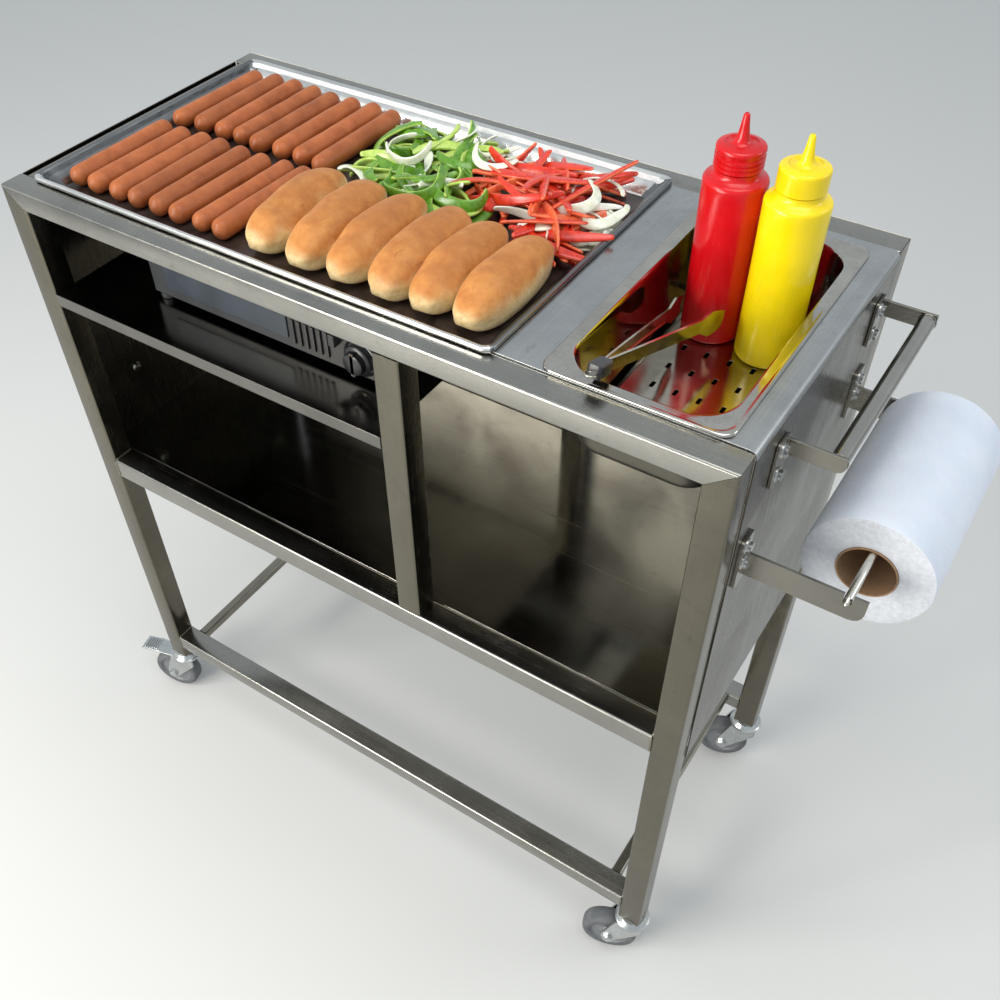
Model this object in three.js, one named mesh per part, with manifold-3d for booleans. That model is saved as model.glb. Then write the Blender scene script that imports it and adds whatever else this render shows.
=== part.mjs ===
// Wheeled stainless-steel hot dog cart: a square-tube frame with two shelves, a lift-out
// griddle tray, a gastronorm pan for bottles and tongs, a push handle, a paper roll holder,
// a portable gas stove on the middle shelf and four swivel casters.
// Millimetres, +Z up, X along the cart from left to right, Y from front to rear.
// The origin is at the centre of the bounding box's underside, on the floor.
import * as THREE from 'three';
import { mergeVertices } from 'three/addons/utils/BufferGeometryUtils.js';
import Module from 'manifold-3d';

const wasm = await Module();
wasm.setup();

// ---------------------------------------------------------------- driving dimensions
const cartLength = 850;
const cartDepth = 400;
const worktopHeight = 908;
const gap = 0.3; // air between pieces that touch

const tubeSize = 30;
const tubeWall = 1.5;
const tubeRadius = 2.5;
const topRailHeight = 24;
const sideRailWidth = 24;
const sideRailDrop = 1; // side rails sit this far below the front and rear rails

const sheet = 1.5;
const sheetProud = 1.2; // how far the folded sheets stand out from the tubes
const worktopLength = 250;
const worktopLip = 18;
const bendRadius = 8;
const sidePanelDrop = 434; // worktop down to the side panels' lower edge

const postLeft = 495; // left face of the centre posts, from the cart's left end
const middleShelfDrop = 126.5;
const middleShelfLip = 15;
const lowerShelfDrop = 382;
const shelfRailHeight = 29;
const lowerShelfLip = 12;
const stretcherDrop = 760;
const stretcherHeight = 25;
const tieSize = 14;
const tieInset = 46; // end of the cart to the base ties

const wheelRadius = 37.5;
const wheelWidth = 24;
const crownRise = 23; // wheel top up to the frame's legs
const casterTrail = 27;
const axleRadius = 4;
const crownRadius = 23;
const crownHeight = 11;
const cheekThickness = 3;
const wheelSideGap = 1.5; // wheel to fork cheek
const pinRadius = 5;
const pedalReach = 60; // pedal pivot to its tip
const bearingGap = 0.35;

const trayOverlap = 9; // tray rim over the worktop sheet
const trayBearing = 7.5; // tray rim over the front and rear rails
const trayRimHeight = 7; // rim above the worktop
const trayDepth = 20;
const trayWall = 1.2;
const trayRimWidth = 10;
const trayTaper = 5;
const trayFillet = 3;
const trayMouthRadius = 12;
const trayFloorRadius = 5;
const trayLeft = 24; // tray rim from the cart's left end

const panLength = 325; // 1/3 gastronorm, along Y
const panWidth = 176;
const panDepth = 95;
const panRimWidth = 13;
const panRimHeight = 3.2;
const panWall = 1;
const panTaper = 8; // each wall leans in by this much
const panFillet = 6; // between the walls and the floor
const panFloorRadius = 30; // corners of the floor
const panMouthRadius = 38; // corners of the mouth
const panRight = 22; // pan rim from the cart's right end
const panShift = -8; // pan centre, towards the front
const plateLift = 11; // drain plate above the pan's floor

const plateThickness = 3; // bracket steel
const flangeWidth = 26;
const boltRadius = 3;
const boltHeadRadius = 5.8;
const boltHeadHeight = 4;
const boltClearance = 0.4;

const handleReach = 54;
const handleTopDrop = 35;
const handleArmHeight = 17;
const handleFlangeHeight = 50;
const handleFrontY = -98;
const handleRearY = 140;
const gripRadius = 8;

const rollHolderReach = 112;
const rollArmTopDrop = 140;
const rollArmHeight = 28;
const rollFlangeHeight = 58;
const rollFrontY = -137;
const rollRearY = 140;
const rodRadius = 4;
const rodInset = 17; // rod axis from the arm's outer end
const rodDrop = 7; // rod axis below the arm's top edge
const rollRadius = 62;
const rollCoreRadius = 27;
const rollLength = 212;

const bottleRadius = 30;
const bottleBodyHeight = 163;
const bottleShoulder = 8; // the bevel below the neck
const bottleNeckRadius = 22.5;
const bottleNeckHeight = 8;
const bottleCapHeight = 22;
const nozzleHeight = 26;
const nozzleRadius = 6;
const nozzleTipRadius = 2.4;
const ketchupY = 68.4;
const mustardY = 60;
const bottleGap = 1.8; // between the two bottles, along X
const ketchupShift = -28.3; // ketchup bottle from the pan's centre line

const tongsLength = 195;
const tongsSpread = 17; // from the centre line to the inside of each tip
const tongsTip = 5;
const tongsHeight = 10;
const tongsHeadLength = 24;
const tongsHeadWidth = 16;
const tongsX = -36; // the head, from the pan's centre
const tongsY = -148;
const tongsLift = 10; // the head above the pan's rim
const tongsDip = 0.27; // radians
const tongsHeading = 1.53;

const stoveWidth = 325;
const stoveDepth = 270;
const stoveHeight = 66;
const stoveWall = 1.5;
const stoveFoot = 8;
const stoveFootRadius = 9;
const stoveSlantDepth = 14; // the sloping top edge of the stove's front
const stoveSlantHeight = 20;
const stoveRearBevel = 6;
const burnerRadius = 44;
const burnerHeight = 5;
const burnerX = 118; // from the stove's left end
const stoveLeft = 133;
const stoveSetback = 60;
const knobInset = 28; // from the stove's right end
const knobHeight = 24; // above the stove's lower edge
const knobRadius = 17;
const knobDepth = 16;

const sausageRadius = 12.5;
const sausageRowGap = 9; // between the front and the rear row
const sausageFrontSpace = 5; // tray floor left free in front of the front row
const sausageRearSpace = 1; // tray floor left free behind the rear row
const sausagePitch = 30;
const sausageCount = 8;
const bunWidth = 54;
const bunHeight = 46;
const bunLength = 150;
const bunPitch = 50;
const bunFoot = 17; // half the width of a bun's flat base
const bunSetback = 9; // foot of the last bun to the tray's right wall

// ---------------------------------------------------------------- derived positions
const halfLength = cartLength / 2;
const halfDepth = cartDepth / 2;
const innerY = halfDepth - tubeSize; // inner faces of the front and rear tubes
const trayLength = cartLength - worktopLength - trayLeft + trayOverlap;
const trayWidth = 2 * (innerY + trayBearing);
const casterHeight = 2 * wheelRadius + crownRise;
const legBottom = casterHeight;
const level = (drop) => worktopHeight - drop;
const skinX = halfLength + sheetProud; // outer face of the side panels
const sheetTop = worktopHeight + sheetProud;
const sideRailInside = skinX - bendRadius - sideRailWidth; // inner faces of the side rails
const shelfRailTop = level(lowerShelfDrop);
const middleShelfTop = level(middleShelfDrop);

// ---------------------------------------------------------------- solids
function toSolid(geometry) {
  const bare = new THREE.BufferGeometry();
  bare.setAttribute('position', geometry.getAttribute('position'));
  bare.setIndex(geometry.getIndex());
  const merged = mergeVertices(bare, 1e-4);
  return new wasm.Manifold(new wasm.Mesh({
    numProp: 3,
    vertProperties: Float32Array.from(merged.getAttribute('position').array),
    triVerts: Uint32Array.from(merged.getIndex().array),
  }));
}

function fromSolid(manifold) {
  const mesh = manifold.getMesh();
  const geometry = new THREE.BufferGeometry();
  geometry.setAttribute('position', new THREE.BufferAttribute(mesh.vertProperties, 3));
  geometry.setIndex(new THREE.BufferAttribute(mesh.triVerts, 1));
  return geometry;
}

function join(first, ...others) {
  return fromSolid(others.reduce((sum, other) => sum.add(toSolid(other)), toSolid(first)));
}

function cut(first, ...tools) {
  return fromSolid(tools.reduce((rest, tool) => rest.subtract(toSolid(tool)), toSolid(first)));
}

// ---------------------------------------------------------------- sections and extrusions
function rectangle(width, height) {
  const shape = new THREE.Shape();
  shape.moveTo(-width / 2, -height / 2);
  shape.lineTo(width / 2, -height / 2);
  shape.lineTo(width / 2, height / 2);
  shape.lineTo(-width / 2, height / 2);
  return shape;
}

function roundedRectangle(width, height, radius) {
  const x = width / 2 - radius;
  const y = height / 2 - radius;
  const shape = new THREE.Shape();
  shape.absarc(x, y, radius, 0, Math.PI / 2);
  shape.absarc(-x, y, radius, Math.PI / 2, Math.PI);
  shape.absarc(-x, -y, radius, Math.PI, 1.5 * Math.PI);
  shape.absarc(x, -y, radius, 1.5 * Math.PI, 2 * Math.PI);
  return shape;
}

function tubeSection(width, height) {
  const shape = roundedRectangle(width, height, tubeRadius);
  shape.holes.push(rectangle(width - 2 * tubeWall, height - 2 * tubeWall));
  return shape;
}

function polygon(points) {
  return new THREE.Shape(points.map(([x, y]) => new THREE.Vector2(x, y)));
}

// A section drawn in (y, z) for axis x, in (x, z) for axis y and in (x, y) for axis z.
function extrude(axis, shape, start, end, arcSteps = 2) {
  const geometry = new THREE.ExtrudeGeometry(shape, {
    depth: end - start,
    bevelEnabled: false,
    curveSegments: arcSteps,
  });
  if (axis === 'x') {
    const turn = new THREE.Matrix4().makeBasis(
      new THREE.Vector3(0, 1, 0),
      new THREE.Vector3(0, 0, 1),
      new THREE.Vector3(1, 0, 0),
    );
    return geometry.applyMatrix4(turn).translate(start, 0, 0);
  }
  if (axis === 'y') return geometry.rotateX(Math.PI / 2).translate(0, end, 0);
  return geometry.translate(0, 0, start);
}

function block(x0, x1, y0, y1, z0, z1) {
  return new THREE.BoxGeometry(x1 - x0, y1 - y0, z1 - z0)
    .translate((x0 + x1) / 2, (y0 + y1) / 2, (z0 + z1) / 2);
}

// A solid cylinder with its axis along x, y or z, from start to end.
function rod(axis, radius, start, end, sides = 16) {
  const geometry = new THREE.CylinderGeometry(radius, radius, end - start, sides);
  const middle = (start + end) / 2;
  if (axis === 'x') return geometry.rotateZ(-Math.PI / 2).translate(middle, 0, 0);
  if (axis === 'y') return geometry.translate(0, middle, 0);
  return geometry.rotateX(Math.PI / 2).translate(0, 0, middle);
}

// Points around a rounded rectangle, counter-clockwise from above.
function outline({ x, y, radius }, cornerSteps) {
  const points = [];
  const corners = [[1, 1], [-1, 1], [-1, -1], [1, -1]];
  corners.forEach(([sideX, sideY], quarter) => {
    for (let step = 0; step <= cornerSteps; step += 1) {
      const angle = (quarter + step / cornerSteps) * Math.PI / 2;
      points.push([
        sideX * (x - radius) + radius * Math.cos(angle),
        sideY * (y - radius) + radius * Math.sin(angle),
      ]);
    }
  });
  return points;
}

// A closed skin through rounded-rectangle rings, capped at the first and last ring.
function loft(rings, cornerSteps = 3) {
  const loops = rings.map((ring) => outline(ring, cornerSteps).map(([x, y]) => [x, y, ring.z]));
  const count = loops[0].length;
  const vertices = [[0, 0, rings[0].z], ...loops.flat(), [0, 0, rings.at(-1).z]];
  const last = vertices.length - 1;
  const faces = [];
  for (let i = 0; i < count; i += 1) {
    const next = (i + 1) % count;
    faces.push(0, 1 + i, 1 + next);
    for (let ring = 0; ring < loops.length - 1; ring += 1) {
      const here = 1 + ring * count;
      const there = here + count;
      faces.push(here + i, there + i, there + next, here + i, there + next, here + next);
    }
    const final = 1 + (loops.length - 1) * count;
    faces.push(final + i, last, final + next);
  }
  const geometry = new THREE.BufferGeometry();
  geometry.setAttribute('position', new THREE.Float32BufferAttribute(vertices.flat(), 3));
  geometry.setIndex(faces);
  return geometry;
}

// A body of revolution about the vertical axis through [radius, height] points.
function revolve(points, sides = 20) {
  const profile = points.map(([radius, height]) => new THREE.Vector2(radius, height));
  return new THREE.LatheGeometry(profile, sides).rotateX(Math.PI / 2);
}

// ---------------------------------------------------------------- the scene graph
const cart = new THREE.Group();
const assembly = new THREE.Group();
assembly.add(cart);

const steel = { color: 0x9c9a92, roughness: 0.3, metalness: 1 };
const darkSteel = { color: 0x55534d, roughness: 0.28, metalness: 1 };
const zinc = { color: 0xc4c8ca, roughness: 0.35, metalness: 1 };
const blackSteel = { color: 0x1d1d1e, roughness: 0.5, metalness: 0.6 };
const rubber = { color: 0x3c4146, roughness: 0.7, metalness: 0 };

function add(name, geometry, finish, parent = cart) {
  const mesh = new THREE.Mesh(fromSolid(toSolid(geometry)), new THREE.MeshStandardMaterial(finish));
  mesh.geometry.computeVertexNormals();
  mesh.name = name;
  parent.add(mesh);
  return mesh;
}

// ---------------------------------------------------------------- frame tubes
// The leg and the top rail meet on a sloping joint, like the corner of a picture frame.
function mitreTools(side) {
  const outer = new THREE.Vector2(side * halfLength, worktopHeight);
  const inner = new THREE.Vector2(side * (halfLength - tubeSize), worktopHeight - topRailHeight);
  const along = inner.clone().sub(outer);
  const across = new THREE.Vector2(-side * topRailHeight, tubeSize).normalize();
  const wedge = (direction) => {
    const offset = across.clone().multiplyScalar(-direction * gap / 2);
    const far = across.clone().multiplyScalar(direction * tubeSize * 3);
    const a = outer.clone().addScaledVector(along, -1).add(offset);
    const b = inner.clone().addScaledVector(along, 1).add(offset);
    const corners = [a, b, b.clone().add(far), a.clone().add(far)];
    return extrude('y', new THREE.Shape(corners), -halfDepth - tubeSize, halfDepth + tubeSize);
  };
  return { aboveLeg: wedge(1), belowRail: wedge(-1) };
}

const mitres = { left: mitreTools(-1), right: mitreTools(1) };
const tubeCentreY = halfDepth - tubeSize / 2;
const legX = { left: -halfLength + tubeSize / 2, right: halfLength - tubeSize / 2 };
const legY = { front: -tubeCentreY, rear: tubeCentreY };

for (const [endName, y] of Object.entries(legY)) {
  for (const [sideName, x] of Object.entries(legX)) {
    const blank = extrude('z', tubeSection(tubeSize, tubeSize), legBottom, worktopHeight)
      .translate(x, y, 0);
    add(`leg_${endName}_${sideName}`, cut(blank, mitres[sideName].aboveLeg), steel);
  }
  const rail = extrude('x', tubeSection(tubeSize, topRailHeight), -halfLength, halfLength)
    .translate(0, y, worktopHeight - topRailHeight / 2);
  add(`top_rail_${endName}`, cut(rail, mitres.left.belowRail, mitres.right.belowRail), steel);

  const post = extrude('z', tubeSection(tubeSize, tubeSize), shelfRailTop + gap, level(topRailHeight) - gap)
    .translate(-halfLength + postLeft + tubeSize / 2, y, 0);
  add(`centre_post_${endName}`, post, steel);

  const betweenLegs = halfLength - tubeSize - gap;
  const shelfRail = extrude('x', tubeSection(tubeSize, shelfRailHeight), -betweenLegs, betweenLegs)
    .translate(0, y, shelfRailTop - shelfRailHeight / 2);
  add(`shelf_rail_${endName}`, shelfRail, steel);

  const stretcher = extrude('x', tubeSection(tubeSize, stretcherHeight), -betweenLegs, betweenLegs)
    .translate(0, y, level(stretcherDrop) - stretcherHeight / 2);
  add(`stretcher_${endName}`, stretcher, steel);
}

const sideRailEnd = innerY - gap;
for (const [sideName, side] of [['left', -1], ['right', 1]]) {
  const railCentre = side * (sideRailInside + sideRailWidth / 2);
  const rail = extrude('y', tubeSection(sideRailWidth, topRailHeight), -sideRailEnd, sideRailEnd)
    .translate(railCentre, 0, worktopHeight - sideRailDrop - topRailHeight / 2);
  add(`top_rail_${sideName}`, rail, steel);

  const tieCentre = side * (halfLength - tieInset - tieSize / 2);
  const tie = extrude('y', tubeSection(tieSize, tieSize), -sideRailEnd, sideRailEnd)
    .translate(tieCentre, 0, level(stretcherDrop) - tieSize / 2);
  add(`base_tie_${sideName}`, tie, steel);
}

// ---------------------------------------------------------------- sheet metal
const panCentreX = halfLength - panRight - panWidth / 2;
const panMouth = {
  x: panWidth / 2 - panRimWidth,
  y: panLength / 2 - panRimWidth,
  radius: panMouthRadius,
};
const panClearance = 3;
const worktopLeft = halfLength - worktopLength;
const bendTop = sheetTop - bendRadius;

function worktopSheet() {
  const profile = new THREE.Shape();
  profile.moveTo(worktopLeft, sheetTop - worktopLip);
  profile.lineTo(worktopLeft + sheet, sheetTop - worktopLip);
  profile.lineTo(worktopLeft + sheet, sheetTop - sheet);
  profile.lineTo(skinX - bendRadius, sheetTop - sheet);
  profile.absarc(skinX - bendRadius, bendTop, bendRadius - sheet, Math.PI / 2, 0, true);
  profile.lineTo(skinX, bendTop);
  profile.absarc(skinX - bendRadius, bendTop, bendRadius, 0, Math.PI / 2);
  profile.lineTo(worktopLeft, sheetTop);
  const folded = extrude('y', profile, -sideRailEnd, sideRailEnd, 3);
  const lips = [-1, 1].map((side) => {
    const face = side * sideRailEnd;
    const back = face - side * sheet;
    return block(worktopLeft, sideRailInside - gap, Math.min(face, back), Math.max(face, back),
      sheetTop - worktopLip, sheetTop - sheet / 2);
  });
  const opening = extrude('z', roundedRectangle(
    2 * (panMouth.x + panClearance),
    2 * (panMouth.y + panClearance),
    panMouth.radius,
  ), sheetTop - worktopLip, sheetTop + sheet, 3).translate(panCentreX, panShift, 0);
  return cut(join(folded, ...lips), opening);
}
add('worktop', worktopSheet(), steel);

function boltHoles(bracket) {
  return bracket.boltDrops.map((drop) => rod('x', boltRadius + boltClearance, -tubeSize, tubeSize, 8)
    .translate(skinX, bracket.boltY, level(drop)));
}

const handleBolts = [40, 66];
const rollBolts = [120, 140];
const brackets = {
  handle_bracket_front: {
    y: handleFrontY, top: handleTopDrop, height: handleArmHeight, reach: handleReach,
    flangeTop: handleTopDrop - 7, flangeHeight: handleFlangeHeight, boltDrops: handleBolts,
  },
  handle_bracket_rear: {
    y: handleRearY, top: handleTopDrop, height: handleArmHeight, reach: handleReach,
    flangeTop: handleTopDrop - 7, flangeHeight: handleFlangeHeight, boltDrops: handleBolts,
  },
  roll_bracket_front: {
    y: rollFrontY, top: rollArmTopDrop, height: rollArmHeight, reach: rollHolderReach,
    flangeTop: rollArmTopDrop - 30, flangeHeight: rollFlangeHeight, boltDrops: rollBolts, slot: true,
  },
  roll_bracket_rear: {
    y: rollRearY, top: rollArmTopDrop, height: rollArmHeight, reach: rollHolderReach,
    flangeTop: rollArmTopDrop - 30, flangeHeight: rollFlangeHeight, boltDrops: rollBolts, slot: true,
  },
};
for (const bracket of Object.values(brackets)) {
  bracket.flangeStart = bracket.y + plateThickness - flangeWidth;
  bracket.boltY = bracket.flangeStart + (flangeWidth - plateThickness) / 2;
}

const panelBottom = level(sidePanelDrop);
const rightPanel = block(skinX - sheet, skinX, -sideRailEnd, sideRailEnd, panelBottom, bendTop - gap);
const leftPanel = block(-skinX, -skinX + sheet, -sideRailEnd, sideRailEnd, panelBottom,
  level(sideRailDrop));
add('side_panel_right', cut(rightPanel, ...Object.values(brackets).flatMap(boltHoles)), steel);
add('side_panel_left', leftPanel, steel);
add('back_panel', block(-halfLength, halfLength, halfDepth + gap, halfDepth + gap + sheet,
  shelfRailTop - shelfRailHeight, worktopHeight - 2 * gap), steel);

// A shelf with its long edges folded down.
function foldedShelf(x0, x1, y0, y1, top, lip) {
  const section = polygon([
    [y0, top - lip], [y0 + sheet, top - lip], [y0 + sheet, top - sheet], [y1 - sheet, top - sheet],
    [y1 - sheet, top - lip], [y1, top - lip], [y1, top], [y0, top],
  ]);
  return extrude('x', section, x0, x1);
}
const shelfEnd = skinX - sheet - gap;
add('lower_shelf', foldedShelf(-shelfEnd, shelfEnd, -sideRailEnd, sideRailEnd,
  shelfRailTop, lowerShelfLip), darkSteel);
add('middle_shelf', foldedShelf(-halfLength + tubeSize + gap, -halfLength + postLeft - gap,
  -halfDepth, halfDepth, middleShelfTop, middleShelfLip), darkSteel);

// ---------------------------------------------------------------- handle and roll holder
function wallBracket(bracket) {
  const { y, top, height, reach, flangeTop, flangeHeight, flangeStart, slot } = bracket;
  const face = skinX + gap;
  const end = skinX + reach;
  const upper = level(top);
  const lower = upper - height;
  const nose = height * 0.45;
  const arm = new THREE.Shape();
  arm.moveTo(face, lower);
  arm.lineTo(end - nose, lower);
  arm.absarc(end - nose, lower + nose, nose, -Math.PI / 2, 0);
  arm.lineTo(end, upper);
  arm.lineTo(face, upper);
  const flange = extrude('x', roundedRectangle(flangeWidth, flangeHeight, 5), face, face + plateThickness)
    .translate(0, flangeStart + flangeWidth / 2, level(flangeTop) - flangeHeight / 2);
  const body = join(extrude('y', arm, y, y + plateThickness), flange);
  const tools = boltHoles(bracket);
  if (slot) {
    const slotX = end - rodInset;
    const slotRadius = rodRadius + bearingGap;
    const seat = upper - rodDrop;
    tools.push(rod('y', slotRadius, y - 1, y + plateThickness + 1).translate(slotX, 0, seat));
    tools.push(block(slotX - slotRadius, slotX + slotRadius, y - 1, y + plateThickness + 1,
      seat, upper + 1));
  }
  return cut(body, ...tools);
}

// Two bolts that share a backing strip inside the side panel.
function boltPair(bracket) {
  const inside = skinX - sheet - gap;
  const outside = skinX + gap + plateThickness + gap;
  const heads = bracket.boltDrops.map((drop) => join(
    rod('x', boltRadius, inside - 1, outside + 1, 8),
    rod('x', boltHeadRadius, outside, outside + boltHeadHeight, 6),
  ).translate(0, bracket.boltY, level(drop)));
  const strip = block(inside - 2, inside, bracket.boltY - 8, bracket.boltY + 8,
    level(bracket.boltDrops[1] + 9), level(bracket.boltDrops[0] - 9));
  return join(strip, ...heads);
}
for (const [name, bracket] of Object.entries(brackets)) {
  add(name, wallBracket(bracket), name.startsWith('roll') ? darkSteel : steel);
  add(name.replace('bracket', 'bolts'), boltPair(bracket), zinc);
}

const gripX = skinX + handleReach - gripRadius;
const gripZ = level(handleTopDrop + handleArmHeight / 2);
add('handle_grip', rod('y', gripRadius, handleFrontY + plateThickness + gap, handleRearY - gap, 24)
  .translate(gripX, 0, gripZ), steel);

const rodX = skinX + rollHolderReach - rodInset;
const rodZ = level(rollArmTopDrop + rodDrop);
const rodTip = 6;
const rodStart = rollFrontY - rodTip;
const rodEnd = rollRearY + plateThickness + rodTip;
add('roll_rod', revolve([
  [0, rodStart], [1.2, rodStart], [rodRadius, rodStart + rodTip], [rodRadius, rodEnd - rodTip],
  [1.2, rodEnd], [0, rodEnd],
], 16).rotateX(-Math.PI / 2).translate(rodX, 0, rodZ), zinc);

const rollEnd = rollRearY - 2;
const rollZ = rodZ + rodRadius + gap - rollCoreRadius;
const rollShape = new THREE.Shape();
rollShape.absarc(0, 0, rollRadius, 0, 2 * Math.PI);
rollShape.holes.push(new THREE.Path().absarc(0, 0, rollCoreRadius, 0, 2 * Math.PI, true));
add('paper_roll', extrude('y', rollShape, rollEnd - rollLength, rollEnd, 16)
  .translate(rodX, 0, rollZ), { color: 0xe8ebf2, roughness: 0.95, metalness: 0 });

// ---------------------------------------------------------------- tray, pan and drain plate
// A pressed dish: floor, sloping walls and a turned rim. Ring heights are above the rim's underside.
function dish({ length, width, rim, depth, wall, taper, mouthRadius, floorRadius, rimHeight, fillet }) {
  const mouth = { x: width / 2 - rim, y: length / 2 - rim };
  const floor = { x: mouth.x - taper, y: mouth.y - taper };
  const bend = fillet * 0.3;
  const top = rimHeight;
  const ring = (size, offset, radius, z) => ({ x: size.x + offset, y: size.y + offset, radius, z });
  const outer = { x: width / 2, y: length / 2 };
  return loft([
    ring(floor, -fillet, floorRadius, top - depth),
    ring(floor, -bend, floorRadius, top - depth + bend),
    ring(floor, 0, floorRadius, top - depth + fillet),
    ring(mouth, 0, mouthRadius, top - wall),
    ring(mouth, wall, mouthRadius + wall, top),
    ring(outer, -wall, rim, top),
    ring(outer, 0, rim, top - wall),
    ring(outer, 0, rim, 0),
    ring(outer, -wall, rim, 0),
    ring(outer, -wall, rim, top - wall),
    ring(mouth, 2 * wall, mouthRadius + wall, top - wall),
    ring(mouth, wall, mouthRadius + wall, top - 2 * wall),
    ring(floor, wall, floorRadius + wall, top - depth + fillet),
    ring(floor, wall - bend, floorRadius + wall, top - depth + bend - wall),
    ring(floor, -fillet, floorRadius + wall, top - depth - wall),
  ]);
}

const trayX = -halfLength + trayLeft + trayLength / 2;
const trayRimSpan = trayRimHeight - gap - sheetProud;
add('griddle_tray', dish({
  length: trayWidth, width: trayLength, rim: trayRimWidth, depth: trayDepth, wall: trayWall,
  taper: trayTaper, mouthRadius: trayMouthRadius, floorRadius: trayFloorRadius, rimHeight: trayRimSpan, fillet: trayFillet,
}).translate(trayX, 0, sheetTop + gap), blackSteel);
const trayFloor = sheetTop + gap + trayRimSpan - trayDepth;

const pan = new THREE.Group();
pan.position.set(panCentreX, panShift, sheetTop + gap);
cart.add(pan);
add('steam_pan', dish({
  length: panLength, width: panWidth, rim: panRimWidth, depth: panDepth, wall: panWall,
  taper: panTaper, mouthRadius: panMouth.radius, floorRadius: panFloorRadius, rimHeight: panRimHeight,
  fillet: panFillet,
}), steel, pan);

const panFloor = panRimHeight - panDepth;
const plateMargin = 7;
const plateCornerRadius = 26;
const plateFootInset = 12; // from the plate's ends
const plateFootWidth = 2;
const plateX = panMouth.x - panTaper - plateMargin;
const plateY = panMouth.y - panTaper - plateMargin;
const slotLength = 9;
const slotWidth = 4;
const slotColumns = 4;
const slotRows = 7;
const slotPitchX = 24;
const slotPitchY = 34;
const slots = [];
for (let column = 0; column < slotColumns; column += 1) {
  for (let row = 0; row < slotRows; row += 1) {
    const x = (column - (slotColumns - 1) / 2) * slotPitchX;
    const y = (row - (slotRows - 1) / 2) * slotPitchY;
    slots.push(block(x - slotWidth / 2, x + slotWidth / 2, y - slotLength / 2, y + slotLength / 2,
      panFloor, 0));
  }
}
const plateTop = panFloor + plateLift + sheet;
const plateFeet = [-1, 1].map((side) => block(-plateX / 2, plateX / 2,
  side * (plateY - plateFootInset) - plateFootWidth / 2,
  side * (plateY - plateFootInset) + plateFootWidth / 2, panFloor + gap, plateTop - sheet / 2));
const plateBlank = extrude('z', roundedRectangle(2 * plateX, 2 * plateY, plateCornerRadius), plateTop - sheet, plateTop, 3);
add('drain_plate', cut(join(plateBlank, ...plateFeet), ...slots), steel, pan);

// ---------------------------------------------------------------- bottles and tongs
function bottle(name, x, y, color) {
  const group = new THREE.Group();
  group.position.set(x - panCentreX, y - panShift, plateTop + gap);
  pan.add(group);
  const plastic = { color, roughness: 0.35, metalness: 0 };
  const neckTop = bottleBodyHeight + bottleNeckHeight;
  add(`${name}_bottle`, revolve([
    [0, 0], [bottleRadius - 3, 0], [bottleRadius, 3], [bottleRadius, bottleBodyHeight - bottleShoulder],
    [bottleRadius - 2, bottleBodyHeight], [bottleNeckRadius - 2, neckTop - 3],
    [bottleNeckRadius - 3, neckTop], [0, neckTop],
  ]), plastic, group);
  const capBase = neckTop + gap;
  const capTop = capBase + bottleCapHeight;
  add(`${name}_cap`, revolve([
    [0, capBase], [bottleNeckRadius, capBase], [bottleNeckRadius, capTop - 3],
    [bottleNeckRadius - 3, capTop], [nozzleRadius + 2, capTop + 1], [nozzleRadius, capTop + 4],
    [nozzleTipRadius, capTop + nozzleHeight], [0, capTop + nozzleHeight],
  ]), plastic, group);
}
const ketchupX = panCentreX + ketchupShift;
bottle('ketchup', ketchupX, ketchupY, 0xb90a12);
bottle('mustard', ketchupX + 2 * bottleRadius + bottleGap, mustardY, 0xf0d000);

// The tongs lean from the pan's front rim down to the foot of the bottles.
function tongs() {
  const root = 4; // half the width of the arms at the head
  const arm = (side) => {
    const strip = polygon([[0, root * side], [tongsLength, side * (tongsSpread + tongsTip)],
      [tongsLength, side * tongsSpread], [0, -1 * side]]);
    const outline = side > 0 ? strip : polygon(strip.getPoints().reverse().map((p) => [p.x, p.y]));
    return extrude('z', outline, -tongsHeight / 2, tongsHeight / 2);
  };
  const head = extrude('z', roundedRectangle(tongsHeadLength, tongsHeadWidth, 5),
    -tongsHeight / 2 - 1, tongsHeight / 2 + 1, 3);
  return join(head, arm(1), arm(-1));
}
const tongsMesh = add('tongs', tongs(), zinc, pan);
tongsMesh.position.set(tongsX, tongsY, panRimHeight + tongsLift);
tongsMesh.rotation.set(0, tongsDip, tongsHeading, 'ZYX');

// ---------------------------------------------------------------- food, as simple solids
// A row of rounded bodies lying side by side along Y, drawn as one corrugated solid.
function corrugated({ x0, pitch, count, radius, foot, height, base }) {
  const shape = new THREE.Shape();
  shape.moveTo(x0 - foot, base);
  const valley = base + height * 0.5;
  const crease = Math.min(radius, pitch / 2); // half the width of a body where it meets the next
  const creaseAngle = Math.acos(crease / radius);
  for (let i = 0; i < count; i += 1) {
    const start = i === 0 ? Math.PI : Math.PI - creaseAngle;
    const end = i === count - 1 ? 0 : creaseAngle;
    shape.absellipse(x0 + i * pitch, valley, radius, height * 0.5, start, end, true);
  }
  shape.lineTo(x0 + (count - 1) * pitch + foot, base);
  return shape;
}
const foodBase = trayFloor + gap;
const wallSpace = trayRimWidth + trayTaper + trayFillet + 2; // tray rim to the flat of its floor
const foodLeft = trayX - trayLength / 2 + wallSpace;
const foodRight = trayX + trayLength / 2 - wallSpace;
const foodFront = -trayWidth / 2 + wallSpace;
const foodRear = trayWidth / 2 - wallSpace;
const sausageX = foodLeft + sausageRadius;
const sausageRight = sausageX + (sausageCount - 1) * sausagePitch + sausageRadius;
const frontRow = foodFront + sausageFrontSpace;
const sausageLength = (foodRear - sausageRearSpace - frontRow - sausageRowGap) / 2;
const rearRow = foodRear - sausageRearSpace - sausageLength;
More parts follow.
